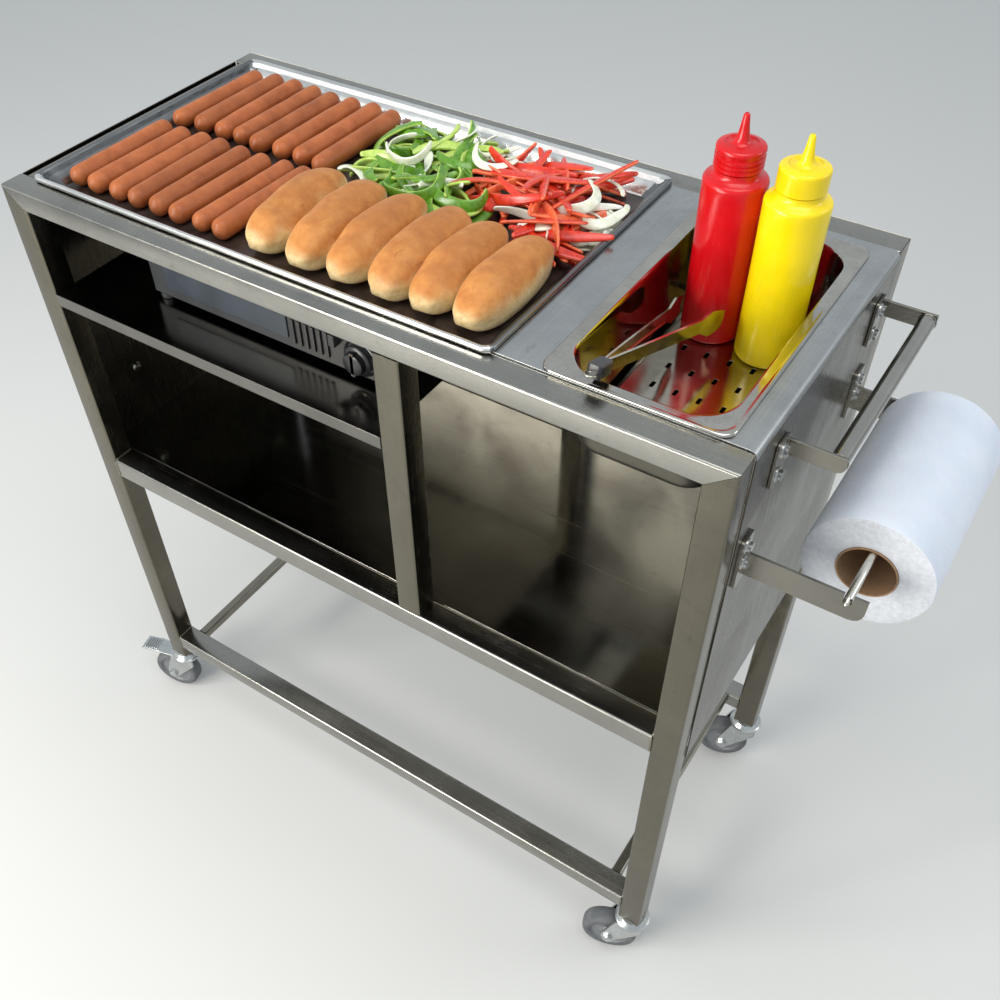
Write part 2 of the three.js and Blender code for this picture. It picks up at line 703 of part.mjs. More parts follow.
for (const [rowName, start] of [['front', frontRow], ['rear', rearRow]]) {
  const row = corrugated({
    x0: sausageX, pitch: sausagePitch, count: sausageCount, radius: sausageRadius,
    foot: sausageRadius / 2, height: 2 * sausageRadius, base: foodBase,
  });
  add(`sausages_${rowName}`, extrude('y', row, start, start + sausageLength, 2),
    { color: 0xa24a2c, roughness: 0.45, metalness: 0 });
}
const lastBunX = foodRight - bunSetback - bunFoot;
const bunCount = 1 + Math.floor((lastBunX - sausageRight - bunWidth / 2) / bunPitch);
const bunRow = corrugated({
  x0: lastBunX - (bunCount - 1) * bunPitch, pitch: bunPitch, count: bunCount,
  radius: bunWidth / 2, foot: bunFoot, height: bunHeight, base: foodBase,
});
add('buns', extrude('y', bunRow, foodFront + 2, foodFront + 2 + bunLength, 3),
  { color: 0xd9954a, roughness: 0.7, metalness: 0 });

const heapX = (foodRight - sausageRight - 4) / 2;
const heapY = (foodRear - foodFront - bunLength - 6) / 2;
const vegetableRings = [
  { x: heapX * 0.7, y: heapY * 0.5, radius: 26, z: 32 },
  { x: heapX * 0.92, y: heapY * 0.85, radius: 28, z: 20 },
  { x: heapX, y: heapY, radius: 30, z: 6 },
  { x: heapX, y: heapY, radius: 30, z: 0 },
];
add('sliced_vegetables', loft(vegetableRings).translate(foodRight - heapX, foodRear - heapY, foodBase),
  { color: 0x5f8f2a, roughness: 0.5, metalness: 0 });

// ---------------------------------------------------------------- portable stove
const stove = new THREE.Group();
stove.position.set(-halfLength + stoveLeft, -halfDepth + stoveSetback, middleShelfTop + gap);
cart.add(stove);
const stoveTop = stoveFoot + stoveHeight;

// The stove's side outline, drawn in by an inset and open underneath when it starts lower.
function stoveSection(inset, bottom) {
  const front = inset;
  const rear = stoveDepth - inset;
  const top = stoveTop - inset;
  return polygon([
    [front, bottom], [rear, bottom], [rear, top - stoveRearBevel], [rear - stoveRearBevel, top],
    [front + stoveSlantDepth, top], [front, top - stoveSlantHeight],
  ]);
}

function stoveBody() {
  const shell = cut(
    extrude('x', stoveSection(0, stoveFoot), 0, stoveWidth),
    extrude('x', stoveSection(stoveWall, stoveFoot - 1), stoveWall, stoveWidth - stoveWall),
  );
  const inset = stoveFootRadius + stoveWall / 2; // the feet stand inside the corners of the shell
  const feet = [inset, stoveWidth - inset].flatMap((x) => [inset, stoveDepth - inset]
    .map((y) => rod('z', stoveFootRadius, 0, 2 * stoveFoot, 12).translate(x, y, 0)));
  const burner = rod('z', burnerRadius, stoveTop - stoveWall / 2, stoveTop + burnerHeight, 24)
    .translate(burnerX, stoveDepth / 2, 0);
  return join(shell, ...feet, burner);
}
add('stove_body', stoveBody(), { color: 0x2b3138, roughness: 0.4, metalness: 0.3 }, stove);
const knobX = stoveWidth - knobInset;
const knobZ = stoveFoot + knobHeight;
const knobBar = 3.5; // half the thickness of the knob's grip bar
add('stove_knob', join(
  rod('y', knobRadius, -gap - knobDepth * 0.6, -gap, 24),
  block(-knobBar, knobBar, -gap - knobDepth, -gap - knobDepth / 4, -knobRadius + 2, knobRadius - 2),
).translate(knobX, 0, knobZ), { color: 0x0e0e10, roughness: 0.35, metalness: 0 }, stove);

// ---------------------------------------------------------------- casters
const crownTop = casterHeight - 3.6;
const crownBottom = crownTop - crownHeight;
const forkInside = wheelWidth / 2 + wheelSideGap;
const forkOutside = forkInside + cheekThickness;

function casterStem() {
  const inside = tubeSize - 2 * tubeWall - 2 * gap;
  const plug = block(-inside / 2, inside / 2, -inside / 2, inside / 2, casterHeight - 1, casterHeight + 30);
  const collar = extrude('z', roundedRectangle(tubeSize - 1, tubeSize - 1, 3),
    crownTop + gap, casterHeight - gap);
  const pin = rod('z', pinRadius, crownBottom - 1, casterHeight);
  const rivet = rod('z', pinRadius + 3, crownBottom - gap - 2.5, crownBottom - gap, 16);
  return join(plug, collar, pin, rivet);
}

function casterFork() {
  const crown = revolve([
    [0, crownBottom], [crownRadius - 1, crownBottom], [crownRadius, crownBottom + 3],
    [crownRadius - 6, crownTop], [0, crownTop],
  ], 24);
  const cheek = new THREE.Shape();
  cheek.moveTo(16, crownBottom + 4);
  cheek.lineTo(-20, crownBottom + 4);
  cheek.lineTo(-casterTrail - 10, wheelRadius + 6);
  cheek.absarc(-casterTrail, wheelRadius, 10, Math.PI * 0.85, Math.PI * 1.85);
  cheek.lineTo(16, crownBottom - 14);
  const cheeks = [
    extrude('y', cheek, forkInside, forkOutside, 3),
    extrude('y', cheek, -forkOutside, -forkInside, 3),
  ];
  const axle = rod('y', axleRadius, -forkOutside - 1, forkOutside + 1)
    .translate(-casterTrail, 0, wheelRadius);
  const heads = [-1, 1].map((side) => rod('y', 7, Math.min(side * forkOutside, side * (forkOutside + 4)),
    Math.max(side * forkOutside, side * (forkOutside + 4)), 6).translate(-casterTrail, 0, wheelRadius));
  const bore = rod('z', pinRadius + bearingGap, crownBottom - 2, crownTop + 2);
  return cut(join(crown, ...cheeks, axle, ...heads), bore);
}

function casterWheel() {
  const half = wheelWidth / 2;
  const bore = axleRadius + bearingGap;
  const hub = axleRadius + 7.5;
  const rim = wheelRadius - 10;
  return revolve([
    [bore, -half - 0.8], [hub, -half - 0.8], [hub, -half + 4], [rim - 2, -half + 4], [rim, -half],
    [wheelRadius - 3, -half], [wheelRadius, -half + 4], [wheelRadius, half - 4], [wheelRadius - 3, half],
    [rim, half], [rim - 2, half - 4], [hub, half - 4], [hub, half + 0.8], [bore, half + 0.8],
    [bore, -half - 0.8],
  ], 24).rotateX(-Math.PI / 2).translate(-casterTrail, 0, wheelRadius);
}

const pedalPivot = [-20, crownBottom - 2.6];
function brakePedal() {
  const [x, z] = pedalPivot;
  const side = polygon([
    [x, z + 1.2], [x - 22, z + 0.6], [x - 30, z + 3], [x - pedalReach, z - 1], [x - pedalReach - 1, z - 3.5],
    [x - 30, z + 0.4], [x - 22, z - 1.9], [x, z - 1.3],
  ].toReversed());
  return extrude('y', side, -forkInside + 0.6, forkInside - 0.6);
}

const casters = [
  { name: 'front_left', x: legX.left, y: legY.front, turn: 14, brake: true },
  { name: 'front_right', x: legX.right, y: legY.front, turn: 18, brake: false },
  { name: 'rear_left', x: legX.left, y: legY.rear, turn: 14, brake: false },
  { name: 'rear_right', x: legX.right, y: legY.rear, turn: 18, brake: false },
];
for (const caster of casters) {
  const mount = new THREE.Group();
  mount.position.set(caster.x, caster.y, 0);
  cart.add(mount);
  add(`caster_stem_${caster.name}`, casterStem(), zinc, mount);
  const swivel = new THREE.Group();
  swivel.rotation.z = THREE.MathUtils.degToRad(caster.turn);
  mount.add(swivel);
  add(`caster_fork_${caster.name}`, casterFork(), zinc, swivel);
  add(`caster_wheel_${caster.name}`, casterWheel(), rubber, swivel);
  if (caster.brake) add(`brake_pedal_${caster.name}`, brakePedal(), zinc, swivel);
}

// ---------------------------------------------------------------- origin
const bounds = new THREE.Box3().setFromObject(cart, true);
const centre = bounds.getCenter(new THREE.Vector3());
cart.position.set(-centre.x, -centre.y, -bounds.min.z);

export default assembly;
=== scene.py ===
"""Looks for the wheeled hot dog cart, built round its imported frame. Metres, +Z up."""
import math
import random

import bmesh
import bpy
from mathutils import Matrix, Quaternion, Vector, noise


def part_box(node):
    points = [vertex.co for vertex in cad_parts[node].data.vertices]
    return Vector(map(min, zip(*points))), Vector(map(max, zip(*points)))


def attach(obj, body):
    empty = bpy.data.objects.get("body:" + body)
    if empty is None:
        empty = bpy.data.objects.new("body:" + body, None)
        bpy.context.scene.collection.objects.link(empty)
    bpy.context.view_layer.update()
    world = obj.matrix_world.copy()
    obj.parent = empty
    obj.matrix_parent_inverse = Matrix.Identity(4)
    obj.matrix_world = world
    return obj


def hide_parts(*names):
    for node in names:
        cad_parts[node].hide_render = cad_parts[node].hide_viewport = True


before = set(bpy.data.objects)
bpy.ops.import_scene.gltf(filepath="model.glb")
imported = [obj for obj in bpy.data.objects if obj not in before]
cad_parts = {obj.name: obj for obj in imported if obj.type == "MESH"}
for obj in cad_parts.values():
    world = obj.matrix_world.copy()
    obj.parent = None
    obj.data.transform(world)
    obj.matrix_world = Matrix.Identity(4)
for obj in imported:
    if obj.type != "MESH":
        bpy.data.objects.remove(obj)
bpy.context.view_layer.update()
MM = 0.001
TAU = 2 * math.pi
# Lengths in the calls and profiles below are in millimetres, and places are in metres.


# ---------------------------------------------------------------- camera, lights and floor
CAMERA_PLACE = Vector((0.5421, -0.7878, 1.4566))
CAMERA_AZIMUTH, CAMERA_ELEVATION, CAMERA_ROLL = (math.radians(a) for a in (34.76, 47.14, -1.56))
LENS, SHIFT_X, SHIFT_Y = 37.96, 0.0269, 0.0525
FLOOR_REACH, FLOOR_DROP = 12, 0.0004


def make_camera():
    data = bpy.data.cameras.new("camera")
    data.lens, data.shift_x, data.shift_y = LENS, SHIFT_X, SHIFT_Y
    camera = bpy.data.objects.new("camera", data)
    bpy.context.collection.objects.link(camera)
    level = math.cos(CAMERA_ELEVATION)
    forward = Vector((
        -math.sin(CAMERA_AZIMUTH) * level,
        math.cos(CAMERA_AZIMUTH) * level,
        -math.sin(CAMERA_ELEVATION),
    ))
    turn = forward.to_track_quat("-Z", "Y") @ Quaternion((0, 0, 1), CAMERA_ROLL)
    camera.location = CAMERA_PLACE
    camera.rotation_mode = "QUATERNION"
    camera.rotation_quaternion = turn
    bpy.context.scene.camera = camera


def area_light(name, place, target, size, power, color=(1, 1, 1)):
    data = bpy.data.lights.new(name, "AREA")
    data.shape, data.size, data.energy, data.color = "SQUARE", size, power, color
    light = bpy.data.objects.new(name, data)
    light.location = place
    light.rotation_euler = (Vector(target) - Vector(place)).to_track_quat("-Z", "Y").to_euler()
    bpy.context.collection.objects.link(light)


def make_studio():
    world = bpy.data.worlds.new("studio")
    bpy.context.scene.world = world
    world.use_nodes = True
    background = world.node_tree.nodes["Background"]
    background.inputs["Color"].default_value = (0.88, 0.95, 1, 1)
    background.inputs["Strength"].default_value = 0.7
    area_light("top", (0.5, -0.1, 3.1), (0, 0, 0.8), 1.6, 26, (1, 0.99, 0.96))
    area_light("key", (-1.5, -2.0, 2.5), (0, 0, 0.8), 0.9, 36, (1, 0.97, 0.91))
    area_light("front", (-0.9, -2.5, 1.15), (0.1, 0, 0.65), 1.2, 62, (1, 0.96, 0.88))
    area_light("side", (2.4, 1.4, 2.2), (0.2, 0, 0.7), 1.0, 10)
    bpy.context.scene.view_settings.view_transform = "Standard"

    mesh = bpy.data.meshes.new("floor")
    corners = [(x * FLOOR_REACH, y * FLOOR_REACH, 0) for x, y in ((-1, -1), (1, -1), (1, 1), (-1, 1))]
    mesh.from_pydata(corners, [], [(0, 1, 2, 3)])
    floor = bpy.data.objects.new("floor", mesh)
    floor.location.z = -FLOOR_DROP
    bpy.context.collection.objects.link(floor)
    surface = bpy.data.materials.new("floor")
    surface.use_nodes = True
    shader = surface.node_tree.nodes["Principled BSDF"]
    shader.inputs["Base Color"].default_value = (0.60, 0.60, 0.59, 1)
    shader.inputs["Roughness"].default_value = 0.9
    mesh.materials.append(surface)


# ---------------------------------------------------------------- material nodes
class Surface:
    """A Principled material with short calls for the procedural nodes that feed it."""

    def __init__(self, name, **values):
        self.material = bpy.data.materials.new(name)
        self.material.use_nodes = True
        self.tree = self.material.node_tree
        self.shader = self.tree.nodes["Principled BSDF"]
        for key, value in values.items():
            socket = key.replace("_", " ").title().replace("Ior", "IOR")
            self.shader.inputs[socket].default_value = value
        self.place = self.add("ShaderNodeTexCoord").outputs["Object"]

    def add(self, kind, **settings):
        node = self.tree.nodes.new(kind)
        for key, value in settings.items():
            setattr(node, key, value)
        return node

    def join(self, source, target):
        self.tree.links.new(source, target)

    def feed(self, socket, value):
        """Gives a socket a number, a colour or another node's output."""
        if isinstance(value, tuple):
            socket.default_value = (*value, 1)
        elif isinstance(value, (int, float)):
            socket.default_value = value
        else:
            self.join(value, socket)

    def stretched(self, scale, turn=(0, 0, 0)):
        node = self.add("ShaderNodeMapping")
        node.inputs["Scale"].default_value = scale
        node.inputs["Rotation"].default_value = turn
        self.join(self.place, node.inputs["Vector"])
        return node.outputs["Vector"]

    def noise(self, scale, detail=3, rough=0.55, where=None, distortion=0):
        node = self.add("ShaderNodeTexNoise")
        for key, number in (("Scale", scale), ("Detail", detail), ("Roughness", rough),
                            ("Distortion", distortion)):
            node.inputs[key].default_value = number
        self.join(where or self.place, node.inputs["Vector"])
        return node.outputs["Fac"]

    def cells(self, scale):
        node = self.add("ShaderNodeTexVoronoi")
        node.inputs["Scale"].default_value = scale
        self.join(self.place, node.inputs["Vector"])
        return node.outputs["Distance"]

    def span(self, value, low, high, to_low=0.0, to_high=1.0, smooth=False):
        """Maps low to high onto another range."""
        node = self.add("ShaderNodeMapRange", clamp=True)
        if smooth:
            node.interpolation_type = "SMOOTHSTEP"
        for key, number in zip(("From Min", "From Max", "To Min", "To Max"), (low, high, to_low, to_high)):
            node.inputs[key].default_value = number
        self.join(value, node.inputs["Value"])
        return node.outputs["Result"]

    def math(self, operation, a, b):
        node = self.add("ShaderNodeMath", operation=operation)
        self.feed(node.inputs[0], a)
        self.feed(node.inputs[1], b)
        return node.outputs["Value"]

    def scaled(self, value, factor):
        return self.math("MULTIPLY", value, factor)

    def mix(self, factor, first, second):
        node = self.add("ShaderNodeMix", data_type="RGBA")
        self.join(factor, node.inputs["Factor"])
        self.feed(node.inputs[6], first)
        self.feed(node.inputs[7], second)
        return node.outputs[2]

    def tone(self, value, low, high, first, second):
        """One colour at low and another at high."""
        return self.mix(self.span(value, low, high), first, second)

    def height(self):
        node = self.add("ShaderNodeSeparateXYZ")
        self.join(self.place, node.inputs["Vector"])
        return node.outputs["Z"]

    def color(self, value):
        self.join(value, self.shader.inputs["Base Color"])

    def roughness(self, value, *span):
        self.join(self.span(value, *span) if span else value, self.shader.inputs["Roughness"])

    def bump(self, height, strength, distance):
        node = self.add("ShaderNodeBump")
        node.inputs["Strength"].default_value = strength
        node.inputs["Distance"].default_value = distance * MM
        self.join(height, node.inputs["Height"])
        normal = self.shader.inputs["Normal"]
        if normal.is_linked:
            self.join(normal.links[0].from_socket, node.inputs["Normal"])
        self.join(node.outputs["Normal"], normal)


def shade(color, factor):
    return tuple(min(1, c * factor) for c in color)


GRAIN = {"x": (6, 900, 900), "y": (900, 6, 900), "z": (900, 900, 6)}


def steel(name, tint, rough, grain="x", scratch=0.5, smudge=0.16, warp=0.0):
    """Ground steel: long grain, finger smudges, fine scratches and, on thin sheet, gentle warp."""
    surface = Surface(name, metallic=1.0, anisotropic=0.35)
    streak = surface.noise(1, 2, where=surface.stretched(GRAIN[grain]))
    cloud = surface.noise(9, 5, 0.62, distortion=0.6)
    slanted = surface.stretched(tuple(s * 0.35 for s in GRAIN[grain]), (0.35, 0.2, 0.5))
    hair = surface.span(surface.noise(1, 2, where=slanted), 0.66, 0.72)
    soft = surface.tone(cloud, 0.32, 0.68, shade(tint, 1 - smudge), shade(tint, 1 + smudge))
    dusty = surface.tone(surface.noise(70, 3, 0.7), 0.6, 0.78, soft, shade(tint, 0.72))
    surface.color(surface.mix(surface.span(streak, 0.3, 0.7, 0, 0.55), dusty, shade(tint, 1.12)))
    base = surface.math("ADD", surface.span(streak, 0.25, 0.75, rough * 0.75, rough * 1.25),
                        surface.span(cloud, 0.4, 0.75, 0, rough * 0.5))
    surface.roughness(surface.math("ADD", base, surface.scaled(hair, 0.12 * scratch)))
    surface.bump(streak, 0.10, 0.12)
    surface.bump(hair, 0.10 * scratch, 0.10)
    if warp:
        surface.bump(surface.noise(4.5, 2, 0.4), warp, 9)
    return surface.material


def polished(name, tint, rough):
    """Pressed or plated metal with water marks and faint dents."""
    surface = Surface(name, metallic=1.0)
    cloud = surface.noise(26, 5, 0.6, distortion=0.8)
    drop = surface.cells(85)
    marks = surface.math("MULTIPLY", surface.span(drop, 0.28, 0.36), surface.span(drop, 0.44, 0.36))
    tone = surface.tone(cloud, 0.35, 0.7, shade(tint, 0.86), shade(tint, 1.1))
    surface.color(surface.mix(surface.scaled(marks, 0.25), tone, shade(tint, 0.6)))
    surface.roughness(cloud, 0.3, 0.8, rough * 0.7, rough * 1.7)
    surface.bump(cloud, 0.05, 1.2)
    surface.bump(surface.noise(900, 2), 0.03, 0.05)
    return surface.material


def plastic(name, tint, rough, subsurface=0.06):
    """Moulded plastic: soft gloss, thick-and-thin tone and small scuffs."""
    surface = Surface(name, subsurface_weight=subsurface, subsurface_scale=0.004,
                      subsurface_radius=(1.0, 0.4, 0.2))
    cloud = surface.noise(18, 3, 0.5)
    surface.color(surface.tone(cloud, 0.3, 0.7, shade(tint, 0.84), shade(tint, 1.08)))
    scuff = surface.span(surface.noise(1, 3, where=surface.stretched((500, 500, 40))), 0.62, 0.74)
    surface.roughness(surface.math("ADD", surface.span(cloud, 0.3, 0.7, rough * 0.85, rough * 1.2),
                                   surface.scaled(scuff, 0.14)))
    surface.bump(surface.noise(42, 2), 0.12, 0.5)
    surface.bump(scuff, 0.05, 0.1)
    return surface.material


def enamel(name, tint, rough=0.42, metallic=0.25):
    """Stoved paint with dust, light scuffs and orange peel."""
    surface = Surface(name, metallic=metallic, coat_weight=0.25, coat_roughness=0.25)
    cloud = surface.noise(30, 4, 0.6)
    scuff = surface.span(surface.noise(160, 4, 0.7, distortion=1.5), 0.62, 0.72)
    tone = surface.tone(cloud, 0.3, 0.7, shade(tint, 0.75), shade(tint, 1.3))
    surface.color(surface.mix(surface.scaled(scuff, 0.45), tone, tuple(0.5 * c + 0.07 for c in tint)))
    surface.roughness(cloud, 0.3, 0.75, rough * 0.8, rough * 1.35)
    surface.bump(surface.noise(650, 2), 0.12, 0.12)
    return surface.material


def seasoned(name):
    """The griddle's floor: baked-on grease over steel."""
    surface = Surface(name, metallic=0.15, coat_weight=0.25, coat_roughness=0.3)
    cloud = surface.noise(34, 6, 0.65, distortion=1.2)
    surface.color(surface.tone(cloud, 0.35, 0.7, (0.020, 0.013, 0.011), (0.075, 0.050, 0.042)))
    surface.roughness(cloud, 0.3, 0.75, 0.26, 0.5)
    surface.bump(cloud, 0.35, 0.7)
    surface.bump(surface.noise(420, 3), 0.10, 0.2)
    return surface.material


def wall_steel(name, light, dark, rough, streaks, metallic=0.85):
    """The griddle's walls: sheet with runs of grease over a base tint that is painted light, near-white as painted
    highlight on the rear wall and dark as painted shade on the others.
    """
    surface = Surface(name, metallic=metallic)
    cloud = surface.noise(38, 5, 0.65, distortion=1)
    run = surface.span(surface.noise(1, 4, where=surface.stretched((70, 70, 300))), 0.5, 0.66)
    tone = surface.tone(cloud, 0.4, 0.7, light, shade(light, 0.82))
    surface.color(surface.mix(surface.scaled(run, streaks), tone, dark))
    surface.roughness(cloud, 0.3, 0.75, rough * 0.8, rough * 1.4)
    surface.bump(surface.noise(60, 3), 0.3, 0.8)
    surface.bump(surface.noise(420, 3), 0.10, 0.2)
    return surface.material


def sausage_skin(name, strength):
    """A taut smoked skin, browner in patches."""
    surface = Surface(name, subsurface_weight=0.05, subsurface_scale=0.003, subsurface_radius=(1.0, 0.35, 0.2),
                      specular_ior_level=0.35)
    cloud = surface.noise(48, 4, 0.6)
    fine = surface.noise(520, 3, 0.65)
    patch = surface.span(surface.noise(16, 3, 0.6, distortion=1.4), 0.5, 0.72)
    tone = surface.tone(cloud, 0.3, 0.7, shade((0.30, 0.078, 0.020), strength),
                        shade((0.43, 0.130, 0.040), strength))
    roast = surface.mix(surface.scaled(patch, 0.5), tone, (0.21, 0.048, 0.012))
    surface.color(surface.mix(surface.span(fine, 0.62, 0.78, 0, 0.4), roast, (0.24, 0.06, 0.02)))
    surface.roughness(cloud, 0.3, 0.75, 0.34, 0.52)
    surface.bump(fine, 0.16, 0.3)
    surface.bump(cloud, 0.18, 0.8)
    return surface.material


def bun_crust(base, top):
    """Pale crumb at the sides, baked brown above, with creases that are darkened as painted shade."""
    surface = Surface("bun_crust", subsurface_weight=0.08, subsurface_scale=0.004,
                      subsurface_radius=(1.0, 0.6, 0.3),
                      sheen_weight=0.05)
    tall = top - base
    ragged = surface.span(surface.noise(26, 5, 0.62), 0.25, 0.75, -0.16 * tall, 0.16 * tall)
    height = surface.math("ADD", surface.height(), ragged)
    baked = surface.span(height, base + 0.34 * tall, base + 0.72 * tall, smooth=True)
    dark = surface.span(height, base + 0.78 * tall, base + 1.08 * tall, smooth=True)
    side = surface.tone(surface.noise(210, 4, 0.7), 0.35, 0.65, (0.62, 0.44, 0.19), (0.74, 0.58, 0.32))
    crust = surface.tone(surface.noise(70, 4, 0.6), 0.35, 0.65, (0.43, 0.150, 0.026), (0.56, 0.230, 0.050))
    body = surface.mix(surface.scaled(dark, 0.6), surface.mix(baked, side, crust), (0.34, 0.105, 0.016))
    wrinkle = surface.noise(1, 4, 0.65, surface.stretched((95, 34, 60)), 1.6)
    # The crease lines are mixed toward dark brown: painted shade in the creases.
    surface.color(surface.mix(surface.scaled(surface.span(wrinkle, 0.63, 0.7), 0.5), body, (0.24, 0.085, 0.02)))
    surface.roughness(surface.noise(60), 0.3, 0.7, 0.5, 0.72)
    surface.bump(surface.noise(330, 5, 0.7), 0.22, 0.5)
    surface.bump(wrinkle, 0.35, 1.4)
    return surface.material


def flesh(name, light, dark, rough=0.28, subsurface=0.25):
    """Cut vegetable: wet, slightly see-through, with fine veins."""
    surface = Surface(name, subsurface_weight=subsurface, subsurface_scale=0.004,
                      subsurface_radius=(0.7, 0.7, 0.3),
                      coat_weight=0.35, coat_roughness=0.15)
    cloud = surface.noise(90, 4, 0.6, distortion=0.5)
    vein = surface.span(surface.noise(1, 3, where=surface.stretched((270, 90, 180))), 0.5, 0.7)
    tone = surface.tone(cloud, 0.3, 0.7, dark, light)
    surface.color(surface.mix(surface.scaled(vein, 0.3), tone, shade(light, 1.2)))
    surface.roughness(cloud, 0.3, 0.7, rough * 0.8, rough * 1.3)
    surface.bump(cloud, 0.2, 0.5)
    return surface.material


def tissue(name):
    """Embossed paper towel."""
    surface = Surface(name, subsurface_weight=0.15, subsurface_scale=0.003, sheen_weight=0.2)
    crease = surface.noise(14, 4, 0.6)
    surface.color(surface.tone(crease, 0.3, 0.7, (0.60, 0.65, 0.75), (0.70, 0.74, 0.82)))
    surface.roughness(surface.noise(300), 0.3, 0.7, 0.85, 1.0)
    surface.bump(surface.span(surface.cells(210), 0.1, 0.55), 0.35, 0.35)
    surface.bump(crease, 0.15, 2)
    return surface.material


def board(name, tint, ring_place=None):
    """Paper seen edge on: rings of layers round an axis along Y, or plain wound board."""
    surface = Surface(name, roughness=0.9)
    grain = surface.noise(240, 4, 0.7)
    tone = surface.tone(grain, 0.3, 0.7, shade(tint, 0.82), shade(tint, 1.08))
    if ring_place:
        vector = surface.place
        for operation, other in (("SUBTRACT", ring_place), ("MULTIPLY", (1, 0, 1)), ("LENGTH", None)):
            node = surface.add("ShaderNodeVectorMath", operation=operation)
            surface.join(vector, node.inputs[0])
            if other:
                node.inputs[1].default_value = other
            vector = node.outputs["Value" if operation == "LENGTH" else "Vector"]
        wobble = surface.math("ADD", vector, surface.span(surface.noise(35), 0, 1, -0.4 * MM, 0.4 * MM))
        layer = surface.math("SINE", surface.scaled(wobble, TAU / (1.1 * MM)), 0)
        tone = surface.mix(surface.span(layer, 0.2, 1, 0, 0.35), tone, shade(tint, 0.72))
        surface.bump(layer, 0.25, 0.25)
    surface.color(tone)
    surface.bump(grain, 0.2, 0.2)
    return surface.material


def rubber(name, tint):
    """Dusty tread."""
    surface = Surface(name, specular_ior_level=0.3)
    dust = surface.noise(55, 5, 0.7)
    surface.color(surface.tone(dust, 0.35, 0.72, tint, tuple(0.55 * c + 0.11 for c in tint)))
    surface.roughness(dust, 0.3, 0.7, 0.6, 0.92)
    surface.bump(surface.noise(420, 4, 0.7), 0.3, 0.25)
    return surface.material


# ---------------------------------------------------------------- mesh helpers
class Box:
    """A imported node's box: corners and centre in metres, size in millimetres."""

    def __init__(self, node):
        self.low, self.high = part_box(node)
        self.centre = (self.low + self.high) / 2
        self.size = (self.high - self.low) / MM


def piece(name, mesh, body, slot, material, replaces=None, bevel=0.0, smooth=35, subdivide=0):
    """Turns a mesh into a finished piece that rides on a body."""
    bm = bmesh.new()
    bm.from_mesh(mesh)
    bmesh.ops.recalc_face_normals(bm, faces=bm.faces)
    bm.to_mesh(mesh)
    bm.free()
    item = bpy.data.objects.new(name, mesh)
    bpy.context.collection.objects.link(item)
    for each in material if isinstance(material, list) else [material]:
        mesh.materials.append(each)
    mesh.shade_smooth()
    if subdivide:
        modifier = item.modifiers.new("subdivide", "SUBSURF")
        modifier.levels = modifier.render_levels = subdivide
    else:
        mesh.set_sharp_from_angle(angle=math.radians(smooth))
    if bevel:
        modifier = item.modifiers.new("bevel", "BEVEL")
        modifier.width, modifier.segments = bevel * MM, 2
        modifier.limit_method, modifier.angle_limit = "ANGLE", math.radians(smooth)
        modifier.harden_normals = True
    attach(item, body)
    if replaces:
        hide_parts(replaces)


def build(name, vertices, faces, *rest, materials=None, **options):
    mesh = bpy.data.meshes.new(name)
    mesh.from_pydata([tuple(v) for v in vertices], [], faces)
    if materials:
        for polygon, index in zip(mesh.polygons, materials):
            polygon.material_index = index
    piece(name, mesh, *rest, **options)


def skin(loops, closed=False):
    """Vertices and faces of a surface through loops that have the same number of points."""
    count = len(loops[0])
    faces = []
    for k in range(len(loops) if closed else len(loops) - 1):
        a, b = k * count, (k + 1) % len(loops) * count
        faces += [(a + i, a + (i + 1) % count, b + (i + 1) % count, b + i) for i in range(count)]
    if not closed:
        faces += [tuple(reversed(range(count))), tuple(range((len(loops) - 1) * count, len(loops) * count))]
    return [Vector(v) for loop in loops for v in loop], faces


def merged(parts):
    """One vertex and face list from several."""
    vertices, faces = [], []
    for part_vertices, part_faces in parts:
        start = len(vertices)
        vertices += part_vertices
        faces += [tuple(i + start for i in face) for face in part_faces]
    return vertices, faces


AXES = {"y": Matrix(((1, 0, 0), (0, 0, 1), (0, -1, 0))), "z": Matrix.Identity(3)}


def circle(steps):
    """The angles round a full turn."""
    return [TAU * i / steps for i in range(steps)]


def lathe(profile, place, axis="z", steps=48, closed=False, turn=None):
    """A body of revolution through (radius, height) points along an axis from place."""
    turn = turn or AXES[axis]
    loops = [[Vector(place) + turn @ Vector((r * MM * math.cos(a), r * MM * math.sin(a), h * MM))
              for a in circle(steps)] for r, h in profile]
    return skin(loops, closed=closed)


def arc(centre_r, centre_z, radius, start, end, steps=6):
    """Profile points round a part circle, angles in degrees."""
    angles = [math.radians(start + (end - start) * i / steps) for i in range(steps + 1)]
    return [(centre_r + radius * math.cos(a), centre_z + radius * math.sin(a)) for a in angles]


def mirrored(profile, length):
    """The other end of a profile: its mirror image about half the length."""
    return [(r, length - h) for r, h in reversed(profile)]


def outline(half_x, half_y, radius, corner=6, side=1):
    """Points round a rounded rectangle, with extra points along its sides."""
    points = []
    for quarter, (sx, sy) in enumerate(((1, 1), (-1, 1), (-1, -1), (1, -1))):
        for step in range(corner + 1):
            angle = (quarter + step / corner) * math.pi / 2
            points.append(Vector((sx * (half_x - radius) + radius * math.cos(angle),
                                  sy * (half_y - radius) + radius * math.sin(angle))))
    result = []
    for a, b in zip(points, points[1:] + points[:1]):
        extra = side if (b - a).length > 3 * radius / corner + 1 else 1
        result += [a.lerp(b, k / extra) for k in range(extra)]
    return result


def dish_loops(box, rings, corner=6, side=1):
    """Loops for a pressed dish: (inset from the outer edge, corner radius, height in metres) rings."""
    loops = []
    for inset, radius, z in rings:
        points = outline(box.size.x / 2 - inset, box.size.y / 2 - inset, radius, corner, side)
        loops.append([Vector((box.centre.x + p.x * MM, box.centre.y + p.y * MM, z)) for p in points])
    return loops


